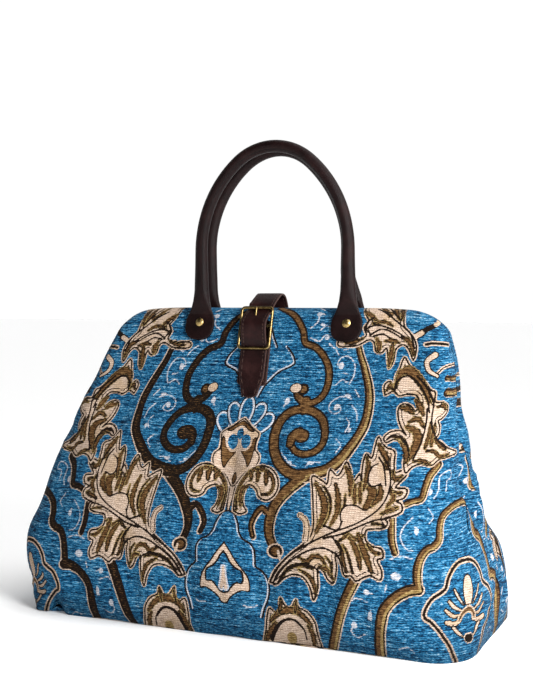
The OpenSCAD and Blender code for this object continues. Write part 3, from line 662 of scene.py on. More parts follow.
CURL_LEAF = dict(
    outline=[
        (138, 252), (136, 261), (141, 266), (146, 261), (147, 271), (150, 278), (154, 290), (160, 282),
        (168, 275), (175, 268), (182, 259), (187, 256), (188, 247), (197, 246), (205, 242), (205, 236),
        (199, 230), (195, 228), (199, 221), (198, 214), (195, 209), (202, 205), (211, 199), (223, 193),
        (212, 190), (200, 188), (192, 182), (182, 184), (174, 181), (169, 175), (166, 184), (166, 196),
        (161, 205), (154, 207), (147, 203), (144, 208), (150, 215), (158, 217), (164, 213), (158, 221),
        (154, 230), (153, 240), (158, 244), (165, 242), (170, 237), (173, 245), (169, 253), (160, 254),
        (152, 252), (146, 256),
    ],
    shades=[
        (11, [(148, 264), (152, 275), (160, 277), (169, 270), (177, 259), (182, 247)]),
        (7, [(169, 248), (174, 242), (178, 234)]), (6, [(165, 226), (173, 230), (180, 222)]),
        (7, [(156, 240), (162, 239), (168, 235)]),
        (11, [(164, 221), (173, 217), (176, 208), (173, 197), (169, 188)]),
        (8, [(160, 206), (166, 199), (168, 186)]), (5.5, [(187, 226), (187, 213), (184, 200)]),
        (6, [(192, 224), (191, 213), (190, 202)]), (5, [(193, 210), (200, 202), (208, 197)]),
        (5, [(186, 197), (194, 196), (200, 191), (211, 192)]), (4.5, [(175, 187), (183, 187), (190, 183)]),
        (4, [(152, 210), (160, 209), (166, 203)]), (4, [(139, 257), (142, 262), (145, 258)]),
        (5, [(192, 242), (199, 243), (203, 239)]),
    ],
    ribs=[
        [(168, 272), (176, 264), (183, 254), (187, 244), (187, 232), (189, 222), (196, 210), (208, 199)],
        [(147, 257), (149, 266), (155, 271), (162, 271), (169, 266), (176, 257), (181, 247), (184, 236)],
        [(147, 206), (153, 211), (160, 210), (166, 204), (168, 197)],
        [(181, 240), (182, 226), (180, 208), (174, 188)],
    ],
)
TOP_LEAF = dict(
    outline=[
        (106, 356), (107, 342), (110, 333), (114, 326), (110, 319), (113, 311), (104, 307), (86, 306),
        (86, 300), (104, 301), (116, 307), (122, 304), (124, 296), (130, 294), (135, 299), (137, 290),
        (139, 279), (143, 286), (144, 297), (148, 302), (153, 303), (158, 298), (163, 288), (165, 300),
        (162, 310), (156, 317), (151, 322), (149, 332), (147, 346), (147, 356),
    ],
    shades=[
        (5, [(120, 352), (128, 342), (135, 333)]), (4, [(131, 338), (136, 336), (134, 332)]),
        (5, [(136, 352), (140, 340), (145, 329)]), (6, [(108, 338), (115, 333), (122, 327)]),
        (7, [(124, 308), (127, 302), (127, 296)]), (5, [(133, 306), (140, 307), (147, 305)]),
        (6.5, [(141, 304), (140, 292), (139, 281)]), (5.5, [(150, 311), (158, 306), (163, 293)]),
        (4, [(143, 350), (147, 338), (147, 329)]), (4, [(92, 303), (100, 304), (110, 308)]),
        (4.5, [(119, 324), (130, 326), (139, 322)]),
    ],
    ribs=[
        [(120, 343), (132, 335), (144, 326), (156, 317), (160, 310), (163, 300)],
        [(118, 330), (113, 325), (112, 318), (116, 314)],
        [(114, 319), (122, 322), (134, 320), (146, 315), (152, 311)],
        [(117, 312), (128, 318), (140, 315), (150, 309)], [(121, 311), (130, 313), (138, 309)],
        [(128, 350), (136, 340), (146, 329)],
    ],
)
TOP_TWIG = [
    ("dark", 7.5, [(161, 311), (170, 318)]), ("cream", 5, [(161, 311), (169, 317)]),
    ("dark", 6, [(173, 321), (181, 327)]), ("cream", 5, [(182, 328), (188, 332)]),
]
CROWN_LEAF = dict(
    outline=[
        (38, -10), (43, 10), (46, 28), (49, 36), (56, 33), (60, 38), (61, 48), (66, 41), (72, 40), (77, 48),
        (79, 41), (87, 37), (93, 29), (95, 18), (94, -10),
    ],
    shades=[
        (9, [(50, 24), (60, 34), (71, 37), (81, 34), (90, 24)]), (7, [(43, 0), (48, 12), (55, 23)]),
        (6, [(87, 22), (91, 12), (91, 0)]), (4, [(59, 33), (61, 39), (62, 44)]),
        (4, [(75, 34), (76, 40), (77, 45)]),
    ],
    ribs=[
        [(48, 2), (54, 16), (61, 25), (69, 28), (76, 26), (82, 18), (84, 6)],
        [(49, 1), (55, 15), (62, 24), (69, 27), (75, 25), (81, 18)],
    ],
)
CROWN_BOSS = ((69, 6), (5, 7))

# Centre palmette
PETALS = [
    (15, [(11, 208), (16, 217), (20, 223)]), (15, [(1, 214), (6, 225), (10, 233)]),
    (18, [(-7, 214), (-7, 228), (-6, 238)]),
]
BULB = [
    (-8, 223), (-2, 219), (4, 213), (11, 208), (14, 205), (13, 196), (14, 188), (19, 183), (20, 176),
    (17, 170), (10, 166), (4, 160), (0, 154), (-6, 150),
]
BULB_SHADES = [
    [(-3, 187), (4, 189), (9, 199), (12, 200), (12, 180), (9, 170), (5, 177)],
    [(-12, 219), (-6, 219), (1, 214), (8, 208), (3, 208), (-4, 213), (-12, 213)],
    [(-12, 166), (-6, 166), (-2, 158), (-6, 151), (-12, 151)],
]
BULB_EYES = [((1, 197), (5.5, 7.5)), ((-7, 205), (4, 5.5))]
VOLUTE = dict(
    outline=[
        (2, 126), (1, 138), (2, 150), (7, 160), (15, 168), (25, 172), (36, 169), (44, 160), (46, 149),
        (42, 141), (35, 138), (27, 141), (24, 147), (19, 151), (14, 152), (11, 147), (10, 139), (12, 131),
        (16, 126), (9, 123),
    ],
    shades=[
        (4.5, [(5, 127), (3, 140), (5, 152), (11, 162), (20, 168), (30, 167), (38, 161), (41, 152),
         (38, 145), (31, 143)]),
        (5, [(13, 166), (15, 162), (16, 157)]), (6, [(21, 168), (23, 162), (23, 156)]),
        (6, [(30, 167), (32, 160), (33, 153)]), (6, [(13, 150), (8, 148), (7, 140), (9, 131)]),
    ],
    ribs=[],
)
CENTRE_STEM = (9, [(-6, 156), (-5, 142), (-5, 127)])
DROP = [
    (-1, 94), (6, 86), (14, 76), (22, 68), (27, 60), (28, 50), (21, 50), (14, 47), (8, 42), (2, 36),
]
DROP_INSIDE = [
    (-1, 86), (3, 82), (7, 76), (13, 71), (19, 68), (21, 62), (20, 57), (14, 57), (9, 52), (3, 47),
]
DROP_HEART = (5, [(1, 71), (2, 62), (4, 52)])

# Small palmette at the repeat, and twigs at the side
SMALL_PALMETTE = [
    (10, [(243, 52), (243, 62), (243, 72)]), (3, [(239, 50), (233, 57), (228, 65)]),
    (4, [(237, 45), (229, 49), (223, 55)]), (4, [(236, 41), (228, 41), (220, 47)]),
    (5, [(237, 36), (229, 34), (221, 36)]), (4, [(238, 22), (232, 27), (228, 31)]),
]
SMALL_ARCH = (5, [(244, 46), (239, 43), (235, 36)])
SMALL_BOSS = ((243, 20), (3.6, 3.6))
CRESCENT = (7, [(184, 294), (177, 287), (179, 278), (188, 272)])
SIDE_TWIG = (3.5, [(174, 305), (184, 307), (200, 306)])

# Pale sprigs and flecks of the ground
SPRIGS = [
    [(100, 262), (104, 271), (104, 281), (98, 289), (89, 288), (86, 281), (91, 277)],
    [(98, 263), (92, 266), (86, 261)],
    [(104, 247), (94, 249), (84, 244), (82, 236), (88, 231), (95, 234), (93, 240)],
    [(106, 240), (112, 233), (114, 224)],
    [(53, 318), (60, 325), (61, 335), (67, 333)],
    [(54, 308), (64, 305), (70, 311), (77, 309)],
    [(64, 316), (70, 321), (76, 318)],
    [(58, 344), (64, 340)],
    [(75, 302), (82, 297), (86, 291)],
    [(98, 272), (92, 273)],
    [(91, 296), (97, 298)],
    [(107, 256), (112, 249)],
    [(104, 212), (107, 220), (103, 226)],
    [(42, 186), (48, 181), (52, 176), (60, 174)],
    [(70, 174), (75, 179), (84, 180)],
    [(34, 236), (38, 243)],
    [(96, 204), (102, 198), (98, 190)],
    [(201, 150), (204, 157), (203, 171), (216, 176), (220, 168), (212, 166), (212, 155)],
    [(194, 160), (197, 156)],
    [(196, 140), (202, 132), (198, 126)],
    [(181, 132), (174, 123), (172, 113), (178, 103), (185, 101)],
    [(184, 123), (187, 117)],
    [(165, 93), (175, 96), (186, 94)],
    [(171, 77), (177, 78)],
    [(164, 70), (163, 64)],
    [(130, 52), (138, 56), (148, 53)],
    [(146, 63), (152, 61)],
    [(148, 38), (151, 46)],
    [(134, 32), (131, 24), (136, 18), (144, 22)],
    [(22, 36), (30, 35), (36, 37)],
    [(176, 12), (184, 15), (190, 10)],
]
FLECKS = [
    ((42, 185), (2, 3)), ((52, 177), (4, 2)), ((74, 178), (4, 2)), ((37, 242), (3, 4)),
    ((194, 156), (4, 4)), ((172, 78), (5, 4)), ((146, 62), (3, 3)), ((150, 41), (2.5, 5)),
    ((186, 119), (2.5, 4)), ((66, 322), (3, 2)), ((60, 334), (3, 3)), ((72, 308), (3, 2)),
    ((90, 280), (3, 4)), ((90, 238), (3, 4)), ((134, 30), (3, 4)), ((100, 250), (4, 2)),
    ((108, 214), (2, 3)),
]

# How the inks are laid: shares of an ink, and layers as (ink, how much wider than the line)
INKS = ("dark", "bronze", "gold", "cream", "pale")
TOOTH_LENGTH = 5.5
TOOTH_DEPTH = 0.35
BLADE_SHARE = 0.78
UNDER_SHARE = 0.8
FAINT_SHARE = 0.64
# Painted light: the gold highlight of the bands shows only towards the right
PAINTED_LIGHT_EDGES = (0, 120)
# Painted shade, partly the bands' own darker tone: bronze bodies thin out towards the left
BODY_SHADE_EDGES = (-50, 30)
LEAST_BODY_IN_SHADE = 0.4
# Painted shade: the damask is darkened towards the base of the bag, fading out at this height
BASE_SHADE_HEIGHT = 45
LEAF_LAYERS = [("cream", 2.0), ("dark", 0.9), ("cream", -0.8), ("dark", -3.0), ("cream", -4.0)]
BLADE_LAYERS = [("gold", 1.1), ("dark", 0.3), ("bronze", -0.5)]
RIB_WIDTHS = (2.0, 1.5)
SPRIG_WIDTHS = (2.4, 2.0)
BODY_LAYERS = [("bronze", -1.9)]
BODY_SOFTNESS = 1.8
BLADE_SOFTNESS = 1.3
AXIS_OVERLAP = 25


def axis_at(v):
    return np.interp(v, AXIS_HEIGHTS, AXIS_PLACES)


class Ornament:
    """Paints motifs on the points of the cloth, one coverage value for each ink."""

    def __init__(self, u, v):
        across = np.ravel(u - axis_at(v))
        v = np.ravel(v)
        on_left = smoothstep(0, LEFT_FULL, -across)
        half = np.abs(across) * (1 + LEFT_SQUEEZE * on_left * (1 - smoothstep(*SQUEEZE_FADE, v)))
        self.m = np.where(half > REPEAT, 2 * REPEAT - half, half)
        self.v = v + LEFT_SKEW * on_left * np.abs(across)
        self.inks = {ink: np.zeros(self.m.shape) for ink in INKS}
        # Shares of an ink: painted gold highlight only at the right, bronze fuller there, sprigs thin
        # everywhere
        self.painted_light = smoothstep(*PAINTED_LIGHT_EDGES, np.ravel(u))
        # Painted shade, partly the bands' own darker tone: less bronze to the left, so the bands go dark
        # there
        self.body = LEAST_BODY_IN_SHADE + (1 - LEAST_BODY_IN_SHADE) * smoothstep(*BODY_SHADE_EDGES, np.ravel(u))
        self.faint = np.full(self.m.shape, FAINT_SHARE)

    def paint(self, chosen, distance, ink, softness=1.0, share=None):
        """Covers points where the distance is below zero; an ink of None lets the ground show again."""
        cover = np.clip(0.5 - distance / softness, 0, 1)
        if share is not None:
            layer = self.inks[ink]
            layer[chosen] = np.maximum(layer[chosen], cover * share[chosen])
            return
        for name in INKS:
            layer = self.inks[name]
            layer[chosen] = layer[chosen] * (1 - cover) + (cover if name == ink else 0)

    def near(self, points, margin):
        low, high = points.min(0) - margin, points.max(0) + margin
        return np.nonzero((self.m > low[0]) & (self.m < high[0]) & (self.v > low[1]) & (self.v < high[1]))[0]

    def curve(self, points, steps=7):
        line = np.array(points, float)
        line[:, 0] -= axis_at(line[:, 1])
        return through(line, steps)

    def to_line(self, line, radius, margin):
        """Chosen points and their distance from a line, less its radius there."""
        chosen = self.near(line, margin)
        p = np.stack([self.m[chosen], self.v[chosen]], -1)
        best = np.full(len(chosen), 1e9)
        for a, b, ra, rb in zip(line[:-1], line[1:], radius[:-1], radius[1:]):
            e = b - a
            t = np.clip((p - a) @ e / max(e @ e, 1e-9), 0, 1)
            gap = np.hypot(p[:, 0] - a[0] - t * e[0], p[:, 1] - a[1] - t * e[1])
            best = np.minimum(best, gap - ra - (rb - ra) * t)
        return chosen, best

    def stroke(self, points, widths, layers, softness=1.0, share=None):
        """Strokes on one line, its width given at both ends: (ink, how much wider than the line)."""
        line = self.curve(points)
        radius = np.linspace(widths[0], widths[1], len(line)) / 2
        chosen, distance = self.to_line(line, radius, max(widths) + 4)
        for ink, wider in layers:
            self.paint(chosen, distance - wider, ink, softness, share)

    def tapered(self, motif, share, layers):
        """Stroke of one width that narrows or widens to a share of it."""
        width, points = motif
        self.stroke(points, (width, width * share), layers)

    def petal(self, width, points, layers):
        """Pointed petal along a line."""
        line = self.curve(points)
        t = np.linspace(0, 1, len(line))
        radius = width / 2 * (0.4 + 0.6 * np.sin(np.pi * (0.05 + 0.72 * t)))
        chosen, distance = self.to_line(line, radius, width + 4)
        for ink, wider in layers:
            self.paint(chosen, distance - wider, ink)

    def fill(self, outline, layers, softness=1.0):
        """Area inside a closed outline: (ink, how much wider than the outline)."""
        line = np.array(outline, float)
        line[:, 0] -= axis_at(line[:, 1])
        line = through(np.concatenate([line, line[:1]]), 4)
        chosen, gap = self.to_line(line, np.zeros(len(line)), 4)
        x, y = self.m[chosen], self.v[chosen]
        inside = np.zeros(len(chosen), bool)
        for a, b in zip(line[:-1], line[1:]):
            crossing = (a[1] > y) != (b[1] > y)
            if a[1] != b[1]:
                inside ^= crossing & (x < a[0] + (y - a[1]) * (b[0] - a[0]) / (b[1] - a[1]))
        distance = np.where(inside, -gap, gap)
        for ink, wider in layers:
            self.paint(chosen, distance - wider, ink, softness)

    def on_axis(self, outline):
        """Closes a half outline along a line beyond the axis, so that its mirror image joins it."""
        low, high = outline[-1], outline[0]
        return list(outline) + [(low[0] - AXIS_OVERLAP, low[1]), (high[0] - AXIS_OVERLAP, high[1])]

    def feather(self, width, points, layers):
        """Ragged blade along a line, widest in its middle."""
        line = self.curve(points, 14)
        ragged = 1 - TOOTH_DEPTH * np.abs(np.sin(np.pi * way_along(line) / TOOTH_LENGTH))
        radius = width / 2 * ragged * (0.4 + 0.6 * np.sin(np.pi * np.linspace(0, 1, len(line))))
        chosen, distance = self.to_line(line, radius, width + 4)
        for ink, wider in layers:
            self.paint(chosen, distance - wider, ink, BLADE_SOFTNESS)

    def leaf(self, outline, shades, ribs):
        """Cream leaf with a double dark contour, ragged brown blades and dark ribs."""
        self.fill(outline, LEAF_LAYERS)
        for width, points in shades:
            self.feather(BLADE_SHARE * width, points, BLADE_LAYERS)
        for points in ribs:
            self.stroke(points, RIB_WIDTHS, [("dark", 0)])

    def spot(self, place, layers, share=None):
        """Oval spot: (ink, how much wider than its size)."""
        centre, size = place
        middle = np.array([[centre[0] - axis_at(centre[1]), centre[1]]])
        size = np.array(size, float)
        chosen = self.near(middle, size.max() + 5)
        p = np.stack([self.m[chosen], self.v[chosen]], -1) - middle
        distance = (np.linalg.norm(p / size, axis=1) - 1) * size.min()
        for ink, wider in layers:
            self.paint(chosen, distance - wider, ink, share=share)

    def bands(self):
        """Scrolling bands: thin cream edging, dark edges, bronze body, and a painted gold highlight along one
        side.
        """
        for start, end, edged, points in BANDS:
            if edged:
                edge = [(u + 0.5, v - 0.3) for u, v in points]
                self.stroke(edge, (start, end), [("cream", 0.7)])
            self.stroke(points, (start, end), [("dark", 0)])
        for start, end, edged, points in BANDS:
            # Bronze thinned towards the left: painted shade, partly the bands' own darker tone
            self.stroke(points, (start, end), BODY_LAYERS, BODY_SOFTNESS, self.body)
            if edged:
                # Painted highlight: a gold stripe along the lit side of each band, thinned out towards the
                # left
                painted_light = [(u + start * 0.22, v - start * 0.14) for u, v in points]
                self.stroke(painted_light, (start * 0.26, end * 0.26), [("gold", 0)], softness=1.6, share=self.painted_light)
        width, points = SPIRAL_END
        self.stroke(points, (9, width), [("dark", 0)])
        self.stroke(points, (9, width), BODY_LAYERS, BODY_SOFTNESS, self.body)
        self.spot(BUD_CURL, [("dark", 1), ("bronze", -1.5)])
        self.spot(BUD, [("dark", 1), ("cream", 0)])
        self.spot(BAND_BALL, [("cream", 1.6), ("dark", 0.2), ("bronze", -2)])
        self.stroke(BALL_LIGHT, (3, 3), [("cream", 0)])

    def draw(self):
        for points in SPRIGS:
            self.stroke(points, SPRIG_WIDTHS, [("pale", 0)], softness=1.8, share=self.faint)
        for place in FLECKS:
            self.spot(place, [("pale", 0)], self.faint)
        for points in LINES:
            beside = [(u - 1.1, v + 0.5) for u, v in points]
            self.stroke(beside, (2.6, 2.6), [("pale", 0)])
            self.stroke(points, (2.0, 2.0), [("dark", 0)])
        self.stroke(CARTOUCHE, (2.4, 2.4), [("cream", 1.7), ("dark", 0.2)])
        self.stroke(END_LINE, (2, 2), [("cream", 1), ("dark", -0.3)])
        self.bands()
        for ink, width, points in TOP_TWIG:
            self.stroke(points, (width, width), [(ink, 0)])
        self.tapered(SIDE_TWIG, 1, [("cream", 1), ("dark", -0.3)])
        self.leaf(**CROWN_LEAF)
        self.spot(CROWN_BOSS, [("gold", 0)])
        self.leaf(**SIDE_LEAF)
        for place in SIDE_EYES:
            self.spot(place, [("cream", 0)])
        for points in SIDE_EYE_LINES:
            self.stroke(points, (1.6, 1.4), [("dark", 0)])
        self.tapered(TENDRIL, 0.7, [("cream", 1), ("dark", 0), ("cream", -1)])
        self.leaf(**CURL_LEAF)
        self.leaf(**TOP_LEAF)
        self.tapered(CRESCENT, 0.5, [("dark", 0.5), ("cream", -0.7)])
        self.centre_palmette()
        self.small_palmette()

    def centre_palmette(self):
        for width, points in PETALS:
            self.petal(width, points, [("dark", 1.5), ("pale", 0.2), (None, -1.7)])
        self.tapered(CENTRE_STEM, 0.6, [("dark", 0.7), ("cream", -0.8)])
        self.fill(self.on_axis(BULB), [("cream", 1.8), ("dark", 0.5), ("cream", -0.9)])
        for area in BULB_SHADES:
            self.fill(area, [("dark", 0.4), ("bronze", -0.7)], softness=1.4)
        for place in BULB_EYES:
            self.spot(place, [("cream", 2)])
        for place in BULB_EYES:
            self.spot(place, [(None, 0)])
        self.leaf(**VOLUTE)
        self.fill(self.on_axis(DROP), [("dark", 0.6), ("cream", -0.9)])
        self.fill(self.on_axis(DROP_INSIDE), [("dark", 0.9), (None, -0.9)])
        width, points = DROP_HEART
        self.stroke(points, (width * 0.6, width), [("pale", 1), ("cream", -0.5)])

    def small_palmette(self):
        for width, points in SMALL_PALMETTE:
            self.petal(width, points, [("dark", 0.6), ("cream", -0.6)])
        self.tapered(SMALL_ARCH, 0.5, [("cream", 1), ("bronze", -0.6)])
        self.spot(SMALL_BOSS, [("cream", 0.9), ("dark", -0.2)])


def dress(piece, u, v):
    """UV map and ink coverage of the damask on a cloth piece."""
    set_uv(piece, u, v)
    ornament = Ornament(u, v)
    ornament.draw()
    covered = sum(layer for ink, layer in ornament.inks.items() if ink != "pale")
    ornament.inks["dark"] = np.maximum(ornament.inks["dark"], UNDER_SHARE * np.minimum(covered, 1))
    for ink in INKS:
        set_attribute(piece, ink, ornament.inks[ink])
    # Painted shade, darker towards the base of the cloth
    set_attribute(piece, "base_shade", 1 - smoothstep(0, BASE_SHADE_HEIGHT, v))
    piece.data.materials.append(materials["damask"])


# Materials
class Shading:
    """Short way to build one procedural material."""

    def __init__(self, name):
        self.material = bpy.data.materials.new(name)
        self.material.use_nodes = True
        self.tree = self.material.node_tree
        self.shader = self.tree.nodes["Principled BSDF"]

    def add(self, kind, values=None, **settings):
        node = self.tree.nodes.new("ShaderNode" + kind)
        for key, value in settings.items():
            setattr(node, key, value)
        for key, value in (values or {}).items():
            self.feed(node.inputs[key], value)
        return node

    def feed(self, socket, value):
        if isinstance(value, bpy.types.NodeSocket):
            self.tree.links.new(value, socket)
        else:
            socket.default_value = value

    def surface(self, **values):
        for key, value in values.items():
            self.feed(self.shader.inputs[key.replace("_", " ")], value)

    def uv(self, scale_u, scale_v):
        place = self.add("UVMap", uv_map="cloth")
        return self.scaled(place.outputs["UV"], (scale_u, scale_v, 1))

    def scaled(self, vector, scale):
        return self.add("Mapping", {"Vector": vector, "Scale": scale}).outputs["Vector"]

    def place(self):
        return self.add("TexCoord").outputs["Object"]

    def noise(self, vector, scale=1.0, detail=2.0, roughness=0.5):
        values = {"Vector": vector, "Scale": scale, "Detail": detail, "Roughness": roughness}
        return self.add("TexNoise", values).outputs["Fac"]

    def ramp(self, value, stops):
        node = self.add("ValToRGB", {"Fac": value})
        elements = node.color_ramp.elements
        while len(elements) < len(stops):
            elements.new(0.5)
        for element, (place, color) in zip(elements, stops):
            element.position = place
            element.color = (*color, 1)
        return node.outputs["Color"]

    def mix(self, share, first, second, kind="MIX"):
        node = self.add("Mix", data_type="RGBA", blend_type=kind)
        self.feed(node.inputs[0], share)
        self.feed(node.inputs[6], first)
        self.feed(node.inputs[7], second)
        return node.outputs[2]

    def math(self, operation, first, second=0.0, third=0.0):
        node = self.add("Math", operation=operation)
        for socket, value in zip(node.inputs, (first, second, third)):
            self.feed(socket, value)
        return node.outputs[0]

    def step(self, value, low, high):
        values = {"Value": value, "From Min": low, "From Max": high}
        return self.add("MapRange", values, interpolation_type="SMOOTHSTEP").outputs["Result"]

    def threads(self, direction, scale, distortion):
        """Waves across one direction of the cloth."""
        along = {"X": (1, 0), "Y": (0, 1)}[direction]
        values = {"Vector": self.uv(*along), "Scale": scale, "Distortion": distortion, "Detail": 1}
        return self.add("TexWave", values, bands_direction=direction, wave_profile="SIN").outputs["Fac"]

    def attribute(self, name):
        return self.add("Attribute", attribute_name=name).outputs["Fac"]

    def bump(self, height, strength, distance, normal=None):
        values = {"Height": height, "Strength": strength, "Distance": distance}
        if normal:
            values["Normal"] = normal
        return self.add("Bump", values).outputs["Normal"]


# Thread colours, as places on a ramp of noise with linear red, green and blue
GROUND_COLORS = [
    (0.43, (0.001, 0.012, 0.034)), (0.482, (0.004, 0.060, 0.145)), (0.525, (0.016, 0.142, 0.285)),
    (0.568, (0.085, 0.270, 0.425)), (0.62, (0.340, 0.480, 0.580)),
]
BRONZE_COLORS = [(0.38, (0.026, 0.011, 0.004)), (0.5, (0.105, 0.050, 0.017)), (0.62, (0.215, 0.118, 0.046))]
GOLD_COLORS = [(0.32, (0.100, 0.060, 0.018)), (0.5, (0.270, 0.175, 0.062)), (0.68, (0.480, 0.350, 0.160))]
CREAM_COLORS = [(0.30, (0.300, 0.210, 0.150)), (0.48, (0.520, 0.385, 0.290)), (0.7, (0.720, 0.570, 0.460))]
TAN_COLORS = [(0.30, (0.200, 0.120, 0.055)), (0.48, (0.430, 0.280, 0.150)), (0.7, (0.620, 0.450, 0.270))]
DARK_COLORS = [(0.3, (0.002, 0.0015, 0.001)), (0.7, (0.018, 0.009, 0.005))]
PALE_COLORS = [(0.3, (0.240, 0.310, 0.400)), (0.6, (0.640, 0.610, 0.620))]
INK_RISE = {"dark": 0.2, "bronze": 0.5, "gold": 0.6, "cream": 1.0, "pale": 0.6}
COVER_EDGES = (0.36, 0.64)
FLECK_SHARE = 0.9
WEAR_SHARE = 0.9
TAN_EDGES = (0.5, 0.68)
TAN_SHARE = 0.55
# Share by which the painted shade darkens the cloth at its base
BASE_SHADE_SHARE = 0.36
BLACK_TO_WHITE = [(0.0, (0, 0, 0)), (1.0, (1, 1, 1))]


def damask_material():
    """Mottled blue chenille with a woven ornament in cream, bronze, dark brown and pale thread."""
    s = Shading("damask")
    streak = s.noise(s.uv(140, 620), detail=3, roughness=0.7)
    speck = s.noise(s.uv(420, 900), detail=2)
    mottle = s.noise(s.uv(30, 55), detail=3)
    lines = s.noise(s.uv(16, 460), detail=2)
    tone = s.math("MULTIPLY", mottle, 0.08)
    for part, share in ((speck, 0.24), (streak, 0.46), (lines, 0.22)):
        tone = s.math("MULTIPLY_ADD", part, share, tone)
    fleck = s.noise(s.uv(260, 760), detail=2)
    shift = s.math("MULTIPLY", s.math("SUBTRACT", fleck, 0.5), FLECK_SHARE)
    thread = s.noise(s.uv(180, 900), detail=2, roughness=0.7)
    wear = s.noise(s.uv(45, 45), detail=2)
    half_thread = s.math("MULTIPLY", thread, 0.5)
    patchy = s.math("MULTIPLY_ADD", s.noise(s.uv(160, 520), detail=2), 0.5, half_thread)
    tanned = s.math("MULTIPLY", s.step(s.noise(s.uv(38, 38), detail=2), *TAN_EDGES), TAN_SHARE)
    paints = {
        "dark": s.ramp(thread, DARK_COLORS),
        "bronze": s.ramp(patchy, BRONZE_COLORS),
        "gold": s.ramp(thread, GOLD_COLORS),
        "cream": s.mix(tanned, s.ramp(thread, CREAM_COLORS), s.ramp(thread, TAN_COLORS)),
        "pale": s.ramp(thread, PALE_COLORS),
    }
    color = s.ramp(tone, GROUND_COLORS)
    relief = 0.0
    for ink in INKS:
        worn = shift
        if ink == "gold":
            worn = s.math("ADD", shift, s.math("MULTIPLY_ADD", wear, WEAR_SHARE, -WEAR_SHARE / 2))
        cover = s.step(s.math("ADD", s.attribute(ink), worn), *COVER_EDGES)
        color = s.mix(cover, color, paints[ink])
        relief = s.math("MULTIPLY_ADD", cover, INK_RISE[ink], relief)
    weft = s.threads("Y", 150, 1.5)
    warp = s.threads("X", 120, 1.0)
    crossing = s.math("MULTIPLY", s.math("MULTIPLY", weft, warp), 0.4)
    weave = s.math("ADD", s.math("MULTIPLY", weft, 0.6), crossing)
    fuzz = s.math("ADD", weave, s.math("MULTIPLY", streak, 0.9))
    normal = s.bump(fuzz, 0.6, 0.0007)
    normal = s.bump(relief, 0.35, 0.0006, normal)
    shade = s.math("MULTIPLY_ADD", weave, 0.5, 0.66)
    # Painted shade: colour darker towards the base
    shade = s.math("MULTIPLY", shade, s.math("MULTIPLY_ADD", s.attribute("base_shade"), -BASE_SHADE_SHARE, 1.0))
    color = s.mix(1.0, color, s.ramp(shade, BLACK_TO_WHITE), "MULTIPLY")
    s.surface(Base_Color=color, Roughness=s.math("MULTIPLY_ADD", thread, 0.2, 0.75), Normal=normal)
    s.surface(Sheen_Weight=0.02, Sheen_Roughness=0.5, Specular_IOR_Level=0.06)
    return s.material


LEATHER_COLORS = [
    (0.3, (0.006, 0.0016, 0.0016)), (0.55, (0.013, 0.0034, 0.0033)), (0.75, (0.026, 0.0085, 0.0078)),
]
WORN_LEATHER = (0.046, 0.023, 0.019, 1)
GROOVE_COLOR = (0.008, 0.004, 0.004, 1)
STITCH_COLOR = (0.050, 0.026, 0.020, 1)


def leather_material(name, depth):
    """Dark burgundy-brown leather with fine grain, worn edges and dark hollows; depth scales its colour,
    below 1 as painted shade.
    """
    s = Shading(name)
    place = s.place()
    cloud = s.noise(place, 60, 4, 0.6)
    cells = s.add("TexVoronoi", {"Vector": place, "Scale": 1100}, feature="DISTANCE_TO_EDGE")
    grain = cells.outputs["Distance"]
    fine = s.noise(place, 2200, 3)
    color = s.ramp(cloud, LEATHER_COLORS)
    uneven = s.math("MULTIPLY", s.math("SUBTRACT", fine, 0.5), 0.5)
    wear = s.step(s.math("ADD", s.attribute("edge"), uneven), 0.45, 0.85)
    color = s.mix(wear, color, WORN_LEATHER)
    groove = s.attribute("groove")
    color = s.mix(s.step(groove, 0.3, 0.8), color, GROOVE_COLOR)
    thread = s.step(s.attribute("stitch"), 0.45, 0.6)
    color = s.mix(thread, color, STITCH_COLOR)
    # Painted shade: a depth below 1 darkens the whole leather
    color = s.mix(1.0, color, (depth, depth, depth, 1), "MULTIPLY")
    rough = s.math("MULTIPLY_ADD", cloud, 0.3, 0.32)
    height = s.math("ADD", s.math("MULTIPLY", grain, 6.0), s.math("MULTIPLY", fine, 0.25))
    normal = s.bump(height, 0.25, 0.0004)
    normal = s.bump(s.math("SUBTRACT", s.attribute("stitch"), groove), 0.7, 0.0006, normal)
    s.surface(Base_Color=color, Roughness=rough, Normal=normal)
    s.surface(Specular_IOR_Level=0.15)
    return s.material


BRASS_COLORS = [(0.36, (0.060, 0.036, 0.013)), (0.50, (0.240, 0.165, 0.062)), (0.66, (0.480, 0.370, 0.170))]
STEEL_COLORS = [(0.3, (0.300, 0.300, 0.310)), (0.7, (0.560, 0.560, 0.570))]
LINING_COLORS = [(0.3, (0.010, 0.014, 0.030)), (0.7, (0.026, 0.034, 0.062))]
BOARD_COLORS = [(0.3, (0.180, 0.130, 0.085)), (0.7, (0.340, 0.260, 0.180))]


def brass_material(name, painted_light_scale):
    """Antique brass: dull gold with brown patina and fine scratches, brighter where it is polished; its
    colour is scaled.
    """
    s = Shading(name)
    place = s.place()
    cloud = s.noise(place, 130, 5, 0.65)
    spots = s.noise(place, 900, 3)
    tone = s.math("ADD", s.math("MULTIPLY", cloud, 0.7), s.math("MULTIPLY", spots, 0.3))
    # Colour scaled: brighter on the rivets as painted light, darker on the buckle as painted shade
    stops = [(place_on, tuple(part * painted_light_scale for part in shade)) for place_on, shade in BRASS_COLORS]
    color = s.ramp(tone, stops)
    normal = s.bump(spots, 0.12, 0.0003)
    s.surface(Base_Color=color, Roughness=s.math("MULTIPLY_ADD", cloud, 0.4, 0.16), Normal=normal)
    s.surface(Metallic=1.0)
    return s.material


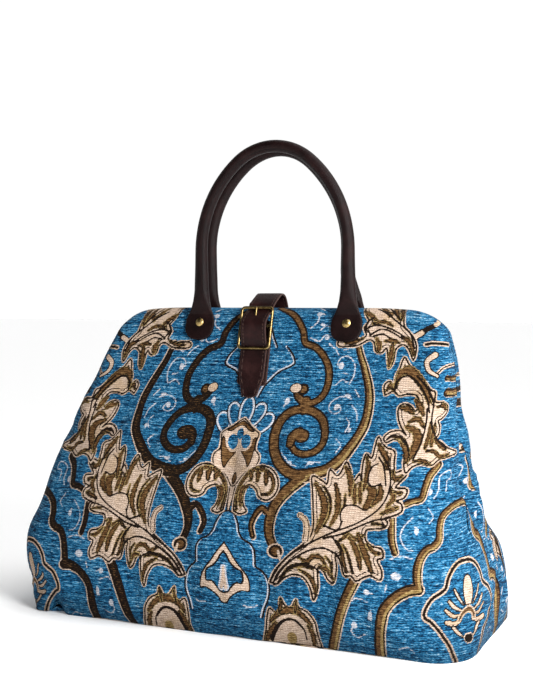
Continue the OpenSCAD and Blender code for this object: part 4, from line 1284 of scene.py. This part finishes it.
def steel_material():
    """Plain rolled steel with a brushed grain."""
    s = Shading("frame_steel")
    grain = s.noise(s.scaled(s.place(), (40, 900, 900)), 1, 3)
    s.surface(Base_Color=s.ramp(grain, STEEL_COLORS), Roughness=s.math("MULTIPLY_ADD", grain, 0.3, 0.25))
    s.surface(Normal=s.bump(grain, 0.15, 0.0002), Metallic=1.0)
    return s.material


def lining_material():
    """Dark navy cotton lining with a plain weave."""
    s = Shading("lining_cotton")
    place = s.place()
    weave = s.add("TexChecker", {"Vector": place, "Scale": 1500}).outputs["Fac"]
    cloud = s.noise(place, 25, 4)
    s.surface(Base_Color=s.ramp(cloud, LINING_COLORS), Roughness=s.math("MULTIPLY_ADD", cloud, 0.1, 0.8))
    s.surface(Normal=s.bump(weave, 0.2, 0.0002), Specular_IOR_Level=0.2)
    return s.material


def board_material():
    """Grey-brown card board with pressed fibres."""
    s = Shading("base_board")
    fibre = s.noise(s.place(), 420, 5, 0.7)
    s.surface(Base_Color=s.ramp(fibre, BOARD_COLORS), Roughness=s.math("MULTIPLY_ADD", fibre, 0.15, 0.8))
    s.surface(Normal=s.bump(fibre, 0.3, 0.0004))
    return s.material


# Cloth pieces
def mirrored(points):
    return points * np.array([1, -1, 1])


def front_and_rear_cloth():
    """Front and rear cloth from the base over the frame into the mouth, each in a left and a right half."""
    for side, grid in (("front", FRONT_GRID), ("rear", REAR_GRID)):
        points, u, v = front_shape(grid)
        swell = swelling(points if side == "front" else mirrored(points))
        points = points + outward(points) * (front_folds(u, v) + swell)[..., None]
        points[..., 2] = np.maximum(points[..., 2] + base_lift(u, v), FLOOR_CLEAR)
        if side == "rear":
            points = mirrored(points)
            u = -u
        middle = grid[0] // 2
        halves = {
            "left": (slice(None, middle + 1), [side + "_panel"]),
            "right": (slice(middle, None), [side + "_fold", side + "_casing"]),
        }
        for half, (columns, replaced) in halves.items():
            piece = grid_piece(side + "_cloth_" + half, points[:, columns], flip=side == "rear")
            dress(piece, u[:, columns], v[:, columns])
            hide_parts(*replaced)
            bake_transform(piece)


def gussets():
    """Tucked end pieces between the front and rear cloth."""
    columns, count = GUSSET_GRID
    rows = cloth_rows(FRONT_GRID[1])
    low = np.arange(len(rows[0])) < np.argmax(rows[0] > GUSSET_TOP - 3)
    at = np.linspace(0, low.sum() - 1, count)
    height, left, right, depth, corner_left, corner_right, way = [
        np.interp(at, np.arange(low.sum()), value[low])[:, None] for value in rows]
    ends = (("left_gusset", -1, left, corner_left), ("right_gusset", 1, right, corner_right))
    for name, side, reach, corner in ends:
        width = depth - corner
        open_half = width - np.maximum(width - MOUTH_GAP, 0) * end_share(height)
        y = np.linspace(-1, 1, columns)[None, :] * open_half
        x = side * end_line(reach, y, width, height)
        points = np.stack([x, y, np.broadcast_to(height, y.shape)], -1)
        u = side * (reach - corner + corner * math.pi / 2 + y + width)
        v = np.broadcast_to(way, u.shape)
        bulge = swelling(points) + ripple(u, v) * GUSSET_RIPPLE
        points = points + outward(points) * side * bulge[..., None]
        points[..., 2] = np.maximum(points[..., 2], FLOOR_CLEAR)
        piece = grid_piece(name + "_cloth", points, flip=side < 0)
        dress(piece, u, v)
        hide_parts(name)
        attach(piece, "bag")


def ring_at(height, inset, fineness=1):
    """Closed ring of the bag's section at heights below the hinge, inset from the outside."""
    left, right, depth, corner_left, corner_right = section_at(np.array([float(height)]))[0]
    left, right, depth = left - inset, right - inset, depth - inset
    least = 4
    corner_left = max(corner_left - inset, least)
    corner_right = max(corner_right - inset, least)
    arc = np.linspace(0, math.pi / 2, 9)
    share = np.linspace(0, 1, 7 * fineness + 1)[:-1]
    along = np.linspace(right - corner_right, corner_left - left, 21 * fineness + 1)[1:-1]
    y_right = -share * (depth - corner_right)
    y_left = -share[::-1] * (depth - corner_left)
    right_end = np.stack([end_line(right, y_right, depth - corner_right, height), y_right], -1)
    right_arc = np.stack([right - corner_right + corner_right * np.cos(arc),
                          corner_right - depth - corner_right * np.sin(arc)], -1)
    flat = np.stack([along, np.full(len(along), -depth)], -1)
    left_arc = np.stack([corner_left - left - corner_left * np.sin(arc),
                         corner_left - depth - corner_left * np.cos(arc)], -1)
    left_end = np.stack([-end_line(left, y_left, depth - corner_left, height), y_left], -1)
    front = np.concatenate([right_end, right_arc, flat, left_arc, left_end])
    rear = (front * np.array([1, -1]))[::-1][1:-1]
    outline = np.concatenate([front, rear])
    return np.concatenate([outline, np.full((len(outline), 1), height)], 1)


def lining_cup():
    """Loose lining inside the body: walls and floor."""
    inset = 9
    floor_height = 8
    top = HINGE_HEIGHT - 40
    floor_ring = ring_at(floor_height, inset)
    rows = [floor_ring * np.array([share, share, 1]) for share in (0.02, 0.4, 0.7, 0.9)]
    rows += [ring_at(height, inset) for height in np.linspace(floor_height, top, 36)]
    piece = grid_piece("lining_cup", np.array(rows), wrap=True)
    set_uv(piece, *np.array(rows)[..., :2].transpose(2, 0, 1))
    piece.data.materials.append(materials["lining"])
    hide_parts("lining")
    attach(piece, "bag")


def facings():
    """Lining on the inner face of each frame half, from the mouth down to the lining of the body."""
    gap, inset = 1.4, 6
    top, bend, foot = SHOULDER_HEIGHT + 14, HINGE_HEIGHT + 6, HINGE_HEIGHT - 42
    half, wider_left, wider_right = 158, 30, 18
    steps, columns = 30, 70
    for side, sign in (("front", -1), ("rear", 1)):
        height = np.concatenate([np.linspace(top, bend, steps), np.linspace(bend, foot, steps)[1:]])[:, None]
        low = 1 - smoothstep(foot, bend, height)
        depth_low = section_at(np.array([foot]))[0, 2] - inset
        y = gap + (depth_low - gap) * low**1.5
        half_left = half + wider_left * low
        half_right = half + wider_right * low
        share = np.linspace(0, 1, columns)[None, :]
        x = -half_left + share * (half_left + half_right)
        points = np.stack([x, sign * np.broadcast_to(y, x.shape), np.broadcast_to(height, x.shape)], -1)
        piece = grid_piece(side + "_facing", points, flip=sign > 0)
        piece.data.materials.append(materials["lining"])
        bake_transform(piece)


def base_board():
    """Stiff board on the bottom inside, with a rounded edge."""
    inset, low_height, top_height, rounding = 17, 3.3, 6.3, 0.6
    outer, inner = ring_at(low_height, inset), ring_at(low_height, inset + rounding)
    middle = inner * np.array([0.01, 0.01, 1])
    levels = [(middle, low_height), (inner, low_height), (outer, low_height + rounding),
              (outer, top_height - rounding), (inner, top_height), (middle, top_height)]
    rows = np.array([ring * np.array([1, 1, 0]) + np.array([0, 0, height]) for ring, height in levels])
    piece = grid_piece("stiff_board", rows, wrap=True)
    piece.data.materials.append(materials["board"])
    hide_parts("base_board")
    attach(piece, "bag")


# Rings of the base: share of the outline, height, and how much of the edge's lift they follow
BOTTOM_LEVELS = [
    (1.0, 0.0, 1.0), (0.985, 0.8, 0.97), (0.97, 0.3, 0.8), (0.93, 0.2, 0.3),
    (0.88, 0.2, 0), (0.6, 0.2, 0), (0.3, 0.2, 0), (0.01, 0.2, 0),
]


def bottom_cloth():
    """Flat base of the bag with a seam along its edge."""
    edge = ring_at(0, 0, 3)
    lift = np.where(edge[:, 1] < 0, base_lift(edge[:, 0], 0.0), 0)
    rows = []
    for share, height, following in BOTTOM_LEVELS:
        row = edge * np.array([share, share, 1])
        row[:, 2] += height + lift * following
        rows.append(row)
    rows = np.array(rows)
    piece = grid_piece("bottom_cloth", rows, wrap=True)
    dress(piece, rows[..., 0], rows[..., 1] + 180)
    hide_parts("bottom_panel")
    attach(piece, "bag")


# Leather pieces
def sweep(name, path, across, half_width, half_thickness, sharpness, sides=40):
    """Tube along a path, squared by its sharpness, with the shares across and out of each point."""
    ahead = np.gradient(path, axis=0)
    ahead /= np.maximum(np.linalg.norm(ahead, axis=1, keepdims=True), 1e-9)
    across = across - ahead * np.sum(across * ahead, axis=1, keepdims=True)
    across /= np.linalg.norm(across, axis=1, keepdims=True)
    out = np.cross(across, ahead)
    turn = np.linspace(0, 2 * math.pi, sides, endpoint=False)[None, :]
    power = 2 / np.asarray(sharpness)[:, None]
    side = np.sign(np.cos(turn)) * np.abs(np.cos(turn))**power
    lift = np.sign(np.sin(turn)) * np.abs(np.sin(turn))**power
    points = (path[:, None, :] + across[:, None, :] * (side * np.asarray(half_width)[:, None])[..., None]
              + out[:, None, :] * (lift * np.asarray(half_thickness)[:, None])[..., None])
    return grid_piece(name, points, wrap=True), side, lift


def handle_path(center):
    """Middle line of one handle from tab to tab, in the plane of the front handle."""
    face_y = -CASING_DEPTH + FACE_LEAN * (RIVET_HEIGHT - CASING_BOTTOM)
    out = SEAT + TAB_THICKNESS / 2
    along = np.linspace(-TAB_DROP, TAB_TOP - 5, 30)
    tab = np.stack([
        np.full(len(along), HANDLE_HALF),
        face_y + along * math.sin(FACE_TILT) - out * math.cos(FACE_TILT),
        RIVET_HEIGHT + along * math.cos(FACE_TILT) + out * math.sin(FACE_TILT),
    ], -1)
    limb = np.array([(HANDLE_HALF, NECK_Y, z) for z in np.linspace(NECK_HEIGHT + 3, SPRING_HEIGHT, 16)])
    bend = through([tab[-2], tab[-1], limb[0], limb[1]], 8)[9:16]
    drop = HANDLE_TOP - SPRING_HEIGHT - HANDLE_CROWN
    radius = (HANDLE_HALF**2 + drop**2 - HANDLE_CROWN**2) / (2 * (HANDLE_HALF - HANDLE_CROWN))
    turn_end = math.atan2(drop, radius - HANDLE_HALF)
    turn = np.linspace(0, turn_end, 30)[1:]
    shoulder = np.stack([HANDLE_HALF + radius * (np.cos(turn) - 1), np.full(29, NECK_Y),
                         SPRING_HEIGHT + radius * np.sin(turn)], -1)
    turn = np.linspace(turn_end, math.pi / 2, 30)[1:]
    crown = np.stack([HANDLE_CROWN * np.cos(turn), np.full(29, NECK_Y),
                      HANDLE_TOP - HANDLE_CROWN + HANDLE_CROWN * np.sin(turn)], -1)
    right = np.concatenate([tab, bend, limb, shoulder, crown])
    left = (right * np.array([-1, 1, 1]))[:-1]
    path = np.concatenate([left, right[::-1]])
    return path + np.array([center, 0, 0])


# Tabs: squareness of their round end, and half width and half thickness by the way from the end
TAB_SQUARE = 2.5
TAB_WIDTHS = [(16.5, 16.5), (22, 16.2), (27, 14.4), (33, 11.4), (41, 9.2), (53, 8), (78, 7), (114, 6.3)]
TAB_THICKNESSES = [(0, 1.75), (27, 1.75), (34, 2.8), (42, 4.6), (52, 5.7), (64, 6)]
REAR_LEAN = 7

# Seam of the handles: place across and spread of the groove and of the worn edge beside it
SEAM_GROOVE = (-0.55, 0.10)
SEAM_EDGE = (-0.38, 0.12)
SEAM_WEAR = 0.75
SEAM_FADE = (40, 60)

# Stitches of the strap and chape: from the edge, spread of the row, pitch and length
STITCH_INSET = 3.0
STITCH_SPREAD = 0.55
STITCH_PITCH = 3.6
STITCH_LENGTH = 2.3
CREASE_INSET = 1.9
CREASE_SPREAD = 0.4
WORN_EDGE = 1.1

# Tip of the strap: share of the width at its end, length of the taper, length of the blunt end
TIP_SHARE = 0.62
TIP_LENGTH = 26
TIP_BLUNT = 3.0


def ridge(value, place, spread):
    """Smooth ridge of height 1 at a place."""
    return np.exp(-((value - place) / spread)**2)


def handles():
    """Rolled handles, each one piece with its two flat tabs."""
    for name in ("front", "rear"):
        path = handle_path(HANDLE_CENTER[name])
        if name == "rear":
            on_right = smoothstep(-30, 70, path[:, 0])
            path[:, 0] -= REAR_LEAN * on_right * smoothstep(NECK_HEIGHT, NECK_HEIGHT + 35, path[:, 2])
        way = way_along(path)
        from_end = np.minimum(way, way[-1] - way)
        past = np.clip(1 - from_end / TAB_RADIUS, 0, 0.9999)
        round_end = TAB_RADIUS * (1 - past**TAB_SQUARE)**(1 / TAB_SQUARE)
        widths = np.array(TAB_WIDTHS)
        width = np.where(from_end < TAB_RADIUS, round_end, np.interp(from_end, widths[:, 0], widths[:, 1]))
        thicks = np.array(TAB_THICKNESSES)
        thickness = np.interp(from_end, thicks[:, 0], thicks[:, 1])
        sharpness = 2 + 4 * (1 - smoothstep(28, 52, from_end))
        across = np.cross(np.gradient(path, axis=0), np.array([0, 1, 0]))
        piece, side, lift = sweep(name + "_handle", path, across, width, thickness, sharpness)
        if name == "rear":
            flip_to_rear(piece)
        seam = ridge(side, *SEAM_GROOVE) * (lift < 0)
        fade = smoothstep(*SEAM_FADE, from_end)[:, None]
        set_attribute(piece, "groove", seam * fade)
        set_attribute(piece, "edge", ridge(side, *SEAM_EDGE) * (lift < 0) * fade * SEAM_WEAR)
        set_attribute(piece, "stitch", np.zeros(seam.shape))
        piece.data.materials.append(materials["handle_leather"])
        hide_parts(name + "_handle_grip", name + "_handle_tab_left", name + "_handle_tab_right")
        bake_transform(piece)


def flip_to_rear(piece):
    """Turns a piece made for the front into its mirror image at the rear."""
    piece.data.transform(Matrix.Scale(-1, 4, Vector((0, 1, 0))))
    piece.data.flip_normals()


def face_point(along, out):
    """Point of the strap's plane: along up the sloping face from the buckle's bar, out from the face."""
    y = -CASING_DEPTH + FACE_LEAN * (BUCKLE_HEIGHT - CASING_BOTTOM)
    return (y + along * math.sin(FACE_TILT) - out * math.cos(FACE_TILT),
            BUCKLE_HEIGHT + along * math.cos(FACE_TILT) + out * math.sin(FACE_TILT))


def rear_point(along, out):
    y, z = face_point(along, out)
    return -y, z


# Buckle: levels are heights above the face, places are along it from the middle bar
BAR_RADIUS = BUCKLE_BAR / 2
BAR_SWELL = 1.15
PRONG_RADIUS = 1.2
PRONG_OVERHANG = 0.6
CHAPE_FACE = SEAT + CHAPE_THICKNESS
BAR_LEVEL = CHAPE_FACE + STRAP_THICKNESS + 2 * SEAT + BAR_RADIUS
BAR_CLEAR = BAR_LEVEL - CHAPE_FACE + SEAT
BAR_Z = BUCKLE_LENGTH / 2 - BAR_RADIUS
BAR_LOW = BAR_Z + 4.5
BUCKLE_HALF = 17.1


def strap_path():
    """Middle line of the strap in the Y-Z plane, from its tip at the front to its end at the rear."""
    low = CHAPE_FACE + SEAT + STRAP_THICKNESS / 2
    high = BAR_LEVEL + BAR_CLEAR + 2 * SEAT + STRAP_THICKNESS / 2
    back = SEAT + STRAP_THICKNESS / 2
    bow = (low + high) / 2 + 1.2
    crest = SHOULDER_HEIGHT + CROWN_HEIGHT + STRAP_ARCH
    arch_drop = STRAP_ARCH / 3
    arch_reach = SECTIONS[-1, 3] / 2
    return through([
        face_point(-STRAP_TAIL, low),
        face_point((-STRAP_TAIL - BAR_LOW) / 2, low),
        face_point(-BAR_LOW - 4, low),
        face_point(-BAR_LOW + 2, low + 0.4),
        face_point(-BAR_LOW / 2, bow),
        face_point(0, high),
        face_point(BAR_Z / 2, bow),
        face_point(BAR_Z - 2, low + 0.4),
        face_point(BAR_Z + 4, low - SEAT),
        (-arch_reach, crest - arch_drop),
        (0, crest),
        (arch_reach, crest - arch_drop),
        rear_point(CROWN_HEIGHT / 2, back + 2 * SEAT),
        rear_point(-CROWN_HEIGHT / 4, back),
        rear_point(-STRAP_REAR_TAIL / 2, back),
        rear_point(-STRAP_REAR_TAIL, back),
    ], 10)


def leather_strip(name, line, half_width, half_thickness, stitched):
    """Flat strip of leather along a line in the Y-Z plane, with worn edges and stitches by each edge."""
    path = np.concatenate([np.full((len(line), 1), STRAP_CENTER), line], 1)
    crest_share = smoothstep(BUCKLE_HEIGHT + 5, SHOULDER_HEIGHT + CROWN_HEIGHT + STRAP_ARCH, line[:, 1])
    path[:, 0] += STRAP_LEAN * np.where(line[:, 0] > 0, 1, crest_share)
    across = np.tile(np.array([1.0, 0, 0]), (len(path), 1))
    thick = np.full(len(path), half_thickness)
    piece, side, lift = sweep(name, path, across, half_width, thick, np.full(len(path), 7.0), 72)
    way = way_along(path)[:, None]
    half = np.asarray(half_width)[:, None]
    from_edge = np.minimum(half - np.abs(side) * half, np.minimum(way, way[-1] - way) * 0.8)
    set_attribute(piece, "edge", ridge(from_edge, 0, WORN_EDGE))
    row = ridge(from_edge, STITCH_INSET, STITCH_SPREAD)
    set_attribute(piece, "groove", row * 0.5 + ridge(from_edge, CREASE_INSET, CREASE_SPREAD) * 0.5)
    dash = (np.mod(way, STITCH_PITCH) < STITCH_LENGTH).astype(float)
    set_attribute(piece, "stitch", row * dash * stitched)
    piece.data.materials.append(materials["leather"])
    return piece


def closure_strap():
    line = strap_path()
    way = way_along(line)
    taper = TIP_SHARE + (1 - TIP_SHARE) * smoothstep(0, TIP_LENGTH, way)
    blunt = np.sqrt(np.clip(way / TIP_BLUNT, 0.02, 1))
    half_width = STRAP_WIDTH / 2 * taper * blunt
    piece = leather_strip("strap", line, half_width, STRAP_THICKNESS / 2, 1.0)
    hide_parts("closure_strap")
    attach(piece, "rear_half")


def buckle_chape():
    """Leather under the buckle, a strip with rounded corners."""
    middle = SEAT + CHAPE_THICKNESS / 2
    line = np.array([face_point(along, middle) for along in np.linspace(-CHAPE_TAIL, BAR_CLEAR + 3, 60)])
    way = np.linspace(0, CHAPE_TAIL + BAR_CLEAR + 3, 60)
    ends = np.minimum(way, way[-1] - way)
    corner = 5
    rounding = np.sqrt(np.maximum(corner**2 - np.maximum(corner - ends, 0)**2, 0))
    half_width = CHAPE_WIDTH / 2 - corner + rounding
    piece = leather_strip("chape", line, half_width, CHAPE_THICKNESS / 2, 1.0)
    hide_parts("buckle_chape")
    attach(piece, "front_half")


def buckle_frame():
    """Cast brass frame of the buckle with rounded corners, and its middle bar."""
    corner = 3.5
    arc = np.linspace(0, math.pi / 2, 7)[:, None]
    turns = []
    for x, z, start in ((1, BAR_Z, 0), (-1, BAR_Z, 1), (-1, -BAR_LOW, 2), (1, -BAR_LOW, 3)):
        angle = arc + start * math.pi / 2
        middle = np.array([x * (BUCKLE_HALF - corner), z - math.copysign(corner, z)])
        turns.append(middle + corner * np.concatenate([np.cos(angle), np.sin(angle)], 1))
    ring = np.concatenate(turns)
    dense = [ring[0]]
    for a, b in zip(ring, np.roll(ring, -1, 0)):
        parts = max(1, int(np.linalg.norm(b - a) / 1.5))
        dense += [a + (b - a) * (i + 1) / parts for i in range(parts)]
    outline = np.array(dense[:-1])
    bar = np.stack([np.linspace(-BUCKLE_HALF, BUCKLE_HALF, 30), np.zeros(30)], -1)
    for name, flat, wrap_ends in (("buckle_ring", outline, True), ("buckle_bar", bar, False)):
        place = np.array([(STRAP_CENTER + x, *face_point(along, BAR_LEVEL)) for x, along in flat])
        out = np.array([0, -math.cos(FACE_TILT), math.sin(FACE_TILT)])
        points = tube(place, out, BAR_RADIUS * BAR_SWELL, wrap_ends)
        piece = grid_piece(name, points, wrap=True)
        piece.data.materials.append(materials["buckle_brass"])
        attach(piece, "front_half")
        if wrap_ends:
            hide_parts("buckle_frame")


def buckle_prong():
    """Prong looped round the middle bar, with its tip on the upper bar."""
    loop = BAR_RADIUS * BAR_SWELL + PRONG_RADIUS
    turn = np.linspace(math.radians(410), math.radians(90), 33)
    ring = np.stack([loop * np.cos(turn), loop * np.sin(turn)], -1)
    straight = np.stack([np.linspace(0, BAR_Z + PRONG_OVERHANG, 24)[1:], np.full(23, loop)], -1)
    line = np.concatenate([ring, straight])
    place = np.array([(STRAP_CENTER, *face_point(along, BAR_LEVEL + out)) for along, out in line])
    radius = np.full(len(line), PRONG_RADIUS)
    radius[[0, -1]] = 0.02
    radius[[1, -2]] = 0.8 * PRONG_RADIUS
    piece = grid_piece("buckle_tongue", tube(place, np.array([1.0, 0, 0]), radius, False), wrap=True)
    piece.data.materials.append(materials["buckle_brass"])
    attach(piece, "buckle_prong")
    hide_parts("buckle_prong")


def tube(path, out, radius, closed):
    """Round tube along a path in a plane whose normal is out."""
    if closed:
        ahead = np.roll(path, -1, 0) - np.roll(path, 1, 0)
    else:
        ahead = np.gradient(path, axis=0)
    side = np.cross(ahead, out)
    side /= np.linalg.norm(side, axis=1, keepdims=True)
    turn = np.linspace(0, 2 * math.pi, 14, endpoint=False)
    radius = np.reshape(radius, (-1, 1, 1))
    rows = path[:, None] + radius * (side[:, None] * np.cos(turn)[:, None] + out * np.sin(turn)[:, None])
    return np.concatenate([rows, rows[:1]]) if closed else rows


def carried_over():
    """Materials on the nodes whose shape is kept."""
    kept = {
        "rivet_brass": ["front_handle_rivets", "rear_handle_rivets"],
        "steel": ["front_frame", "rear_frame", "left_hinge_pin", "right_hinge_pin"],
    }
    for material, names in kept.items():
        for name in names:
            mesh = nodes[name].data
            mesh.materials.clear()
            mesh.materials.append(materials[material])


make_camera()
make_floor()
make_light()
materials = {
    "damask": damask_material(),
    "leather": leather_material("strap_leather", 1.0),
    # Painted shade: the handles get a darker copy of the leather
    "handle_leather": leather_material("handle_leather", 0.6),
    # Painted light, partly a real difference in polish: a brighter copy of the brass for the rivets
    "rivet_brass": brass_material("rivet_brass", 1.5),
    # Painted shade, partly a real difference in polish: a darker copy of the brass for the buckle
    "buckle_brass": brass_material("buckle_brass", 0.85),
    "steel": steel_material(),
    "lining": lining_material(),
    "board": board_material(),
}
SWELL_TABLE = simulate_swelling()
front_and_rear_cloth()
gussets()
bottom_cloth()
base_board()
lining_cup()
facings()
handles()
closure_strap()
buckle_chape()
buckle_frame()
buckle_prong()
carried_over()
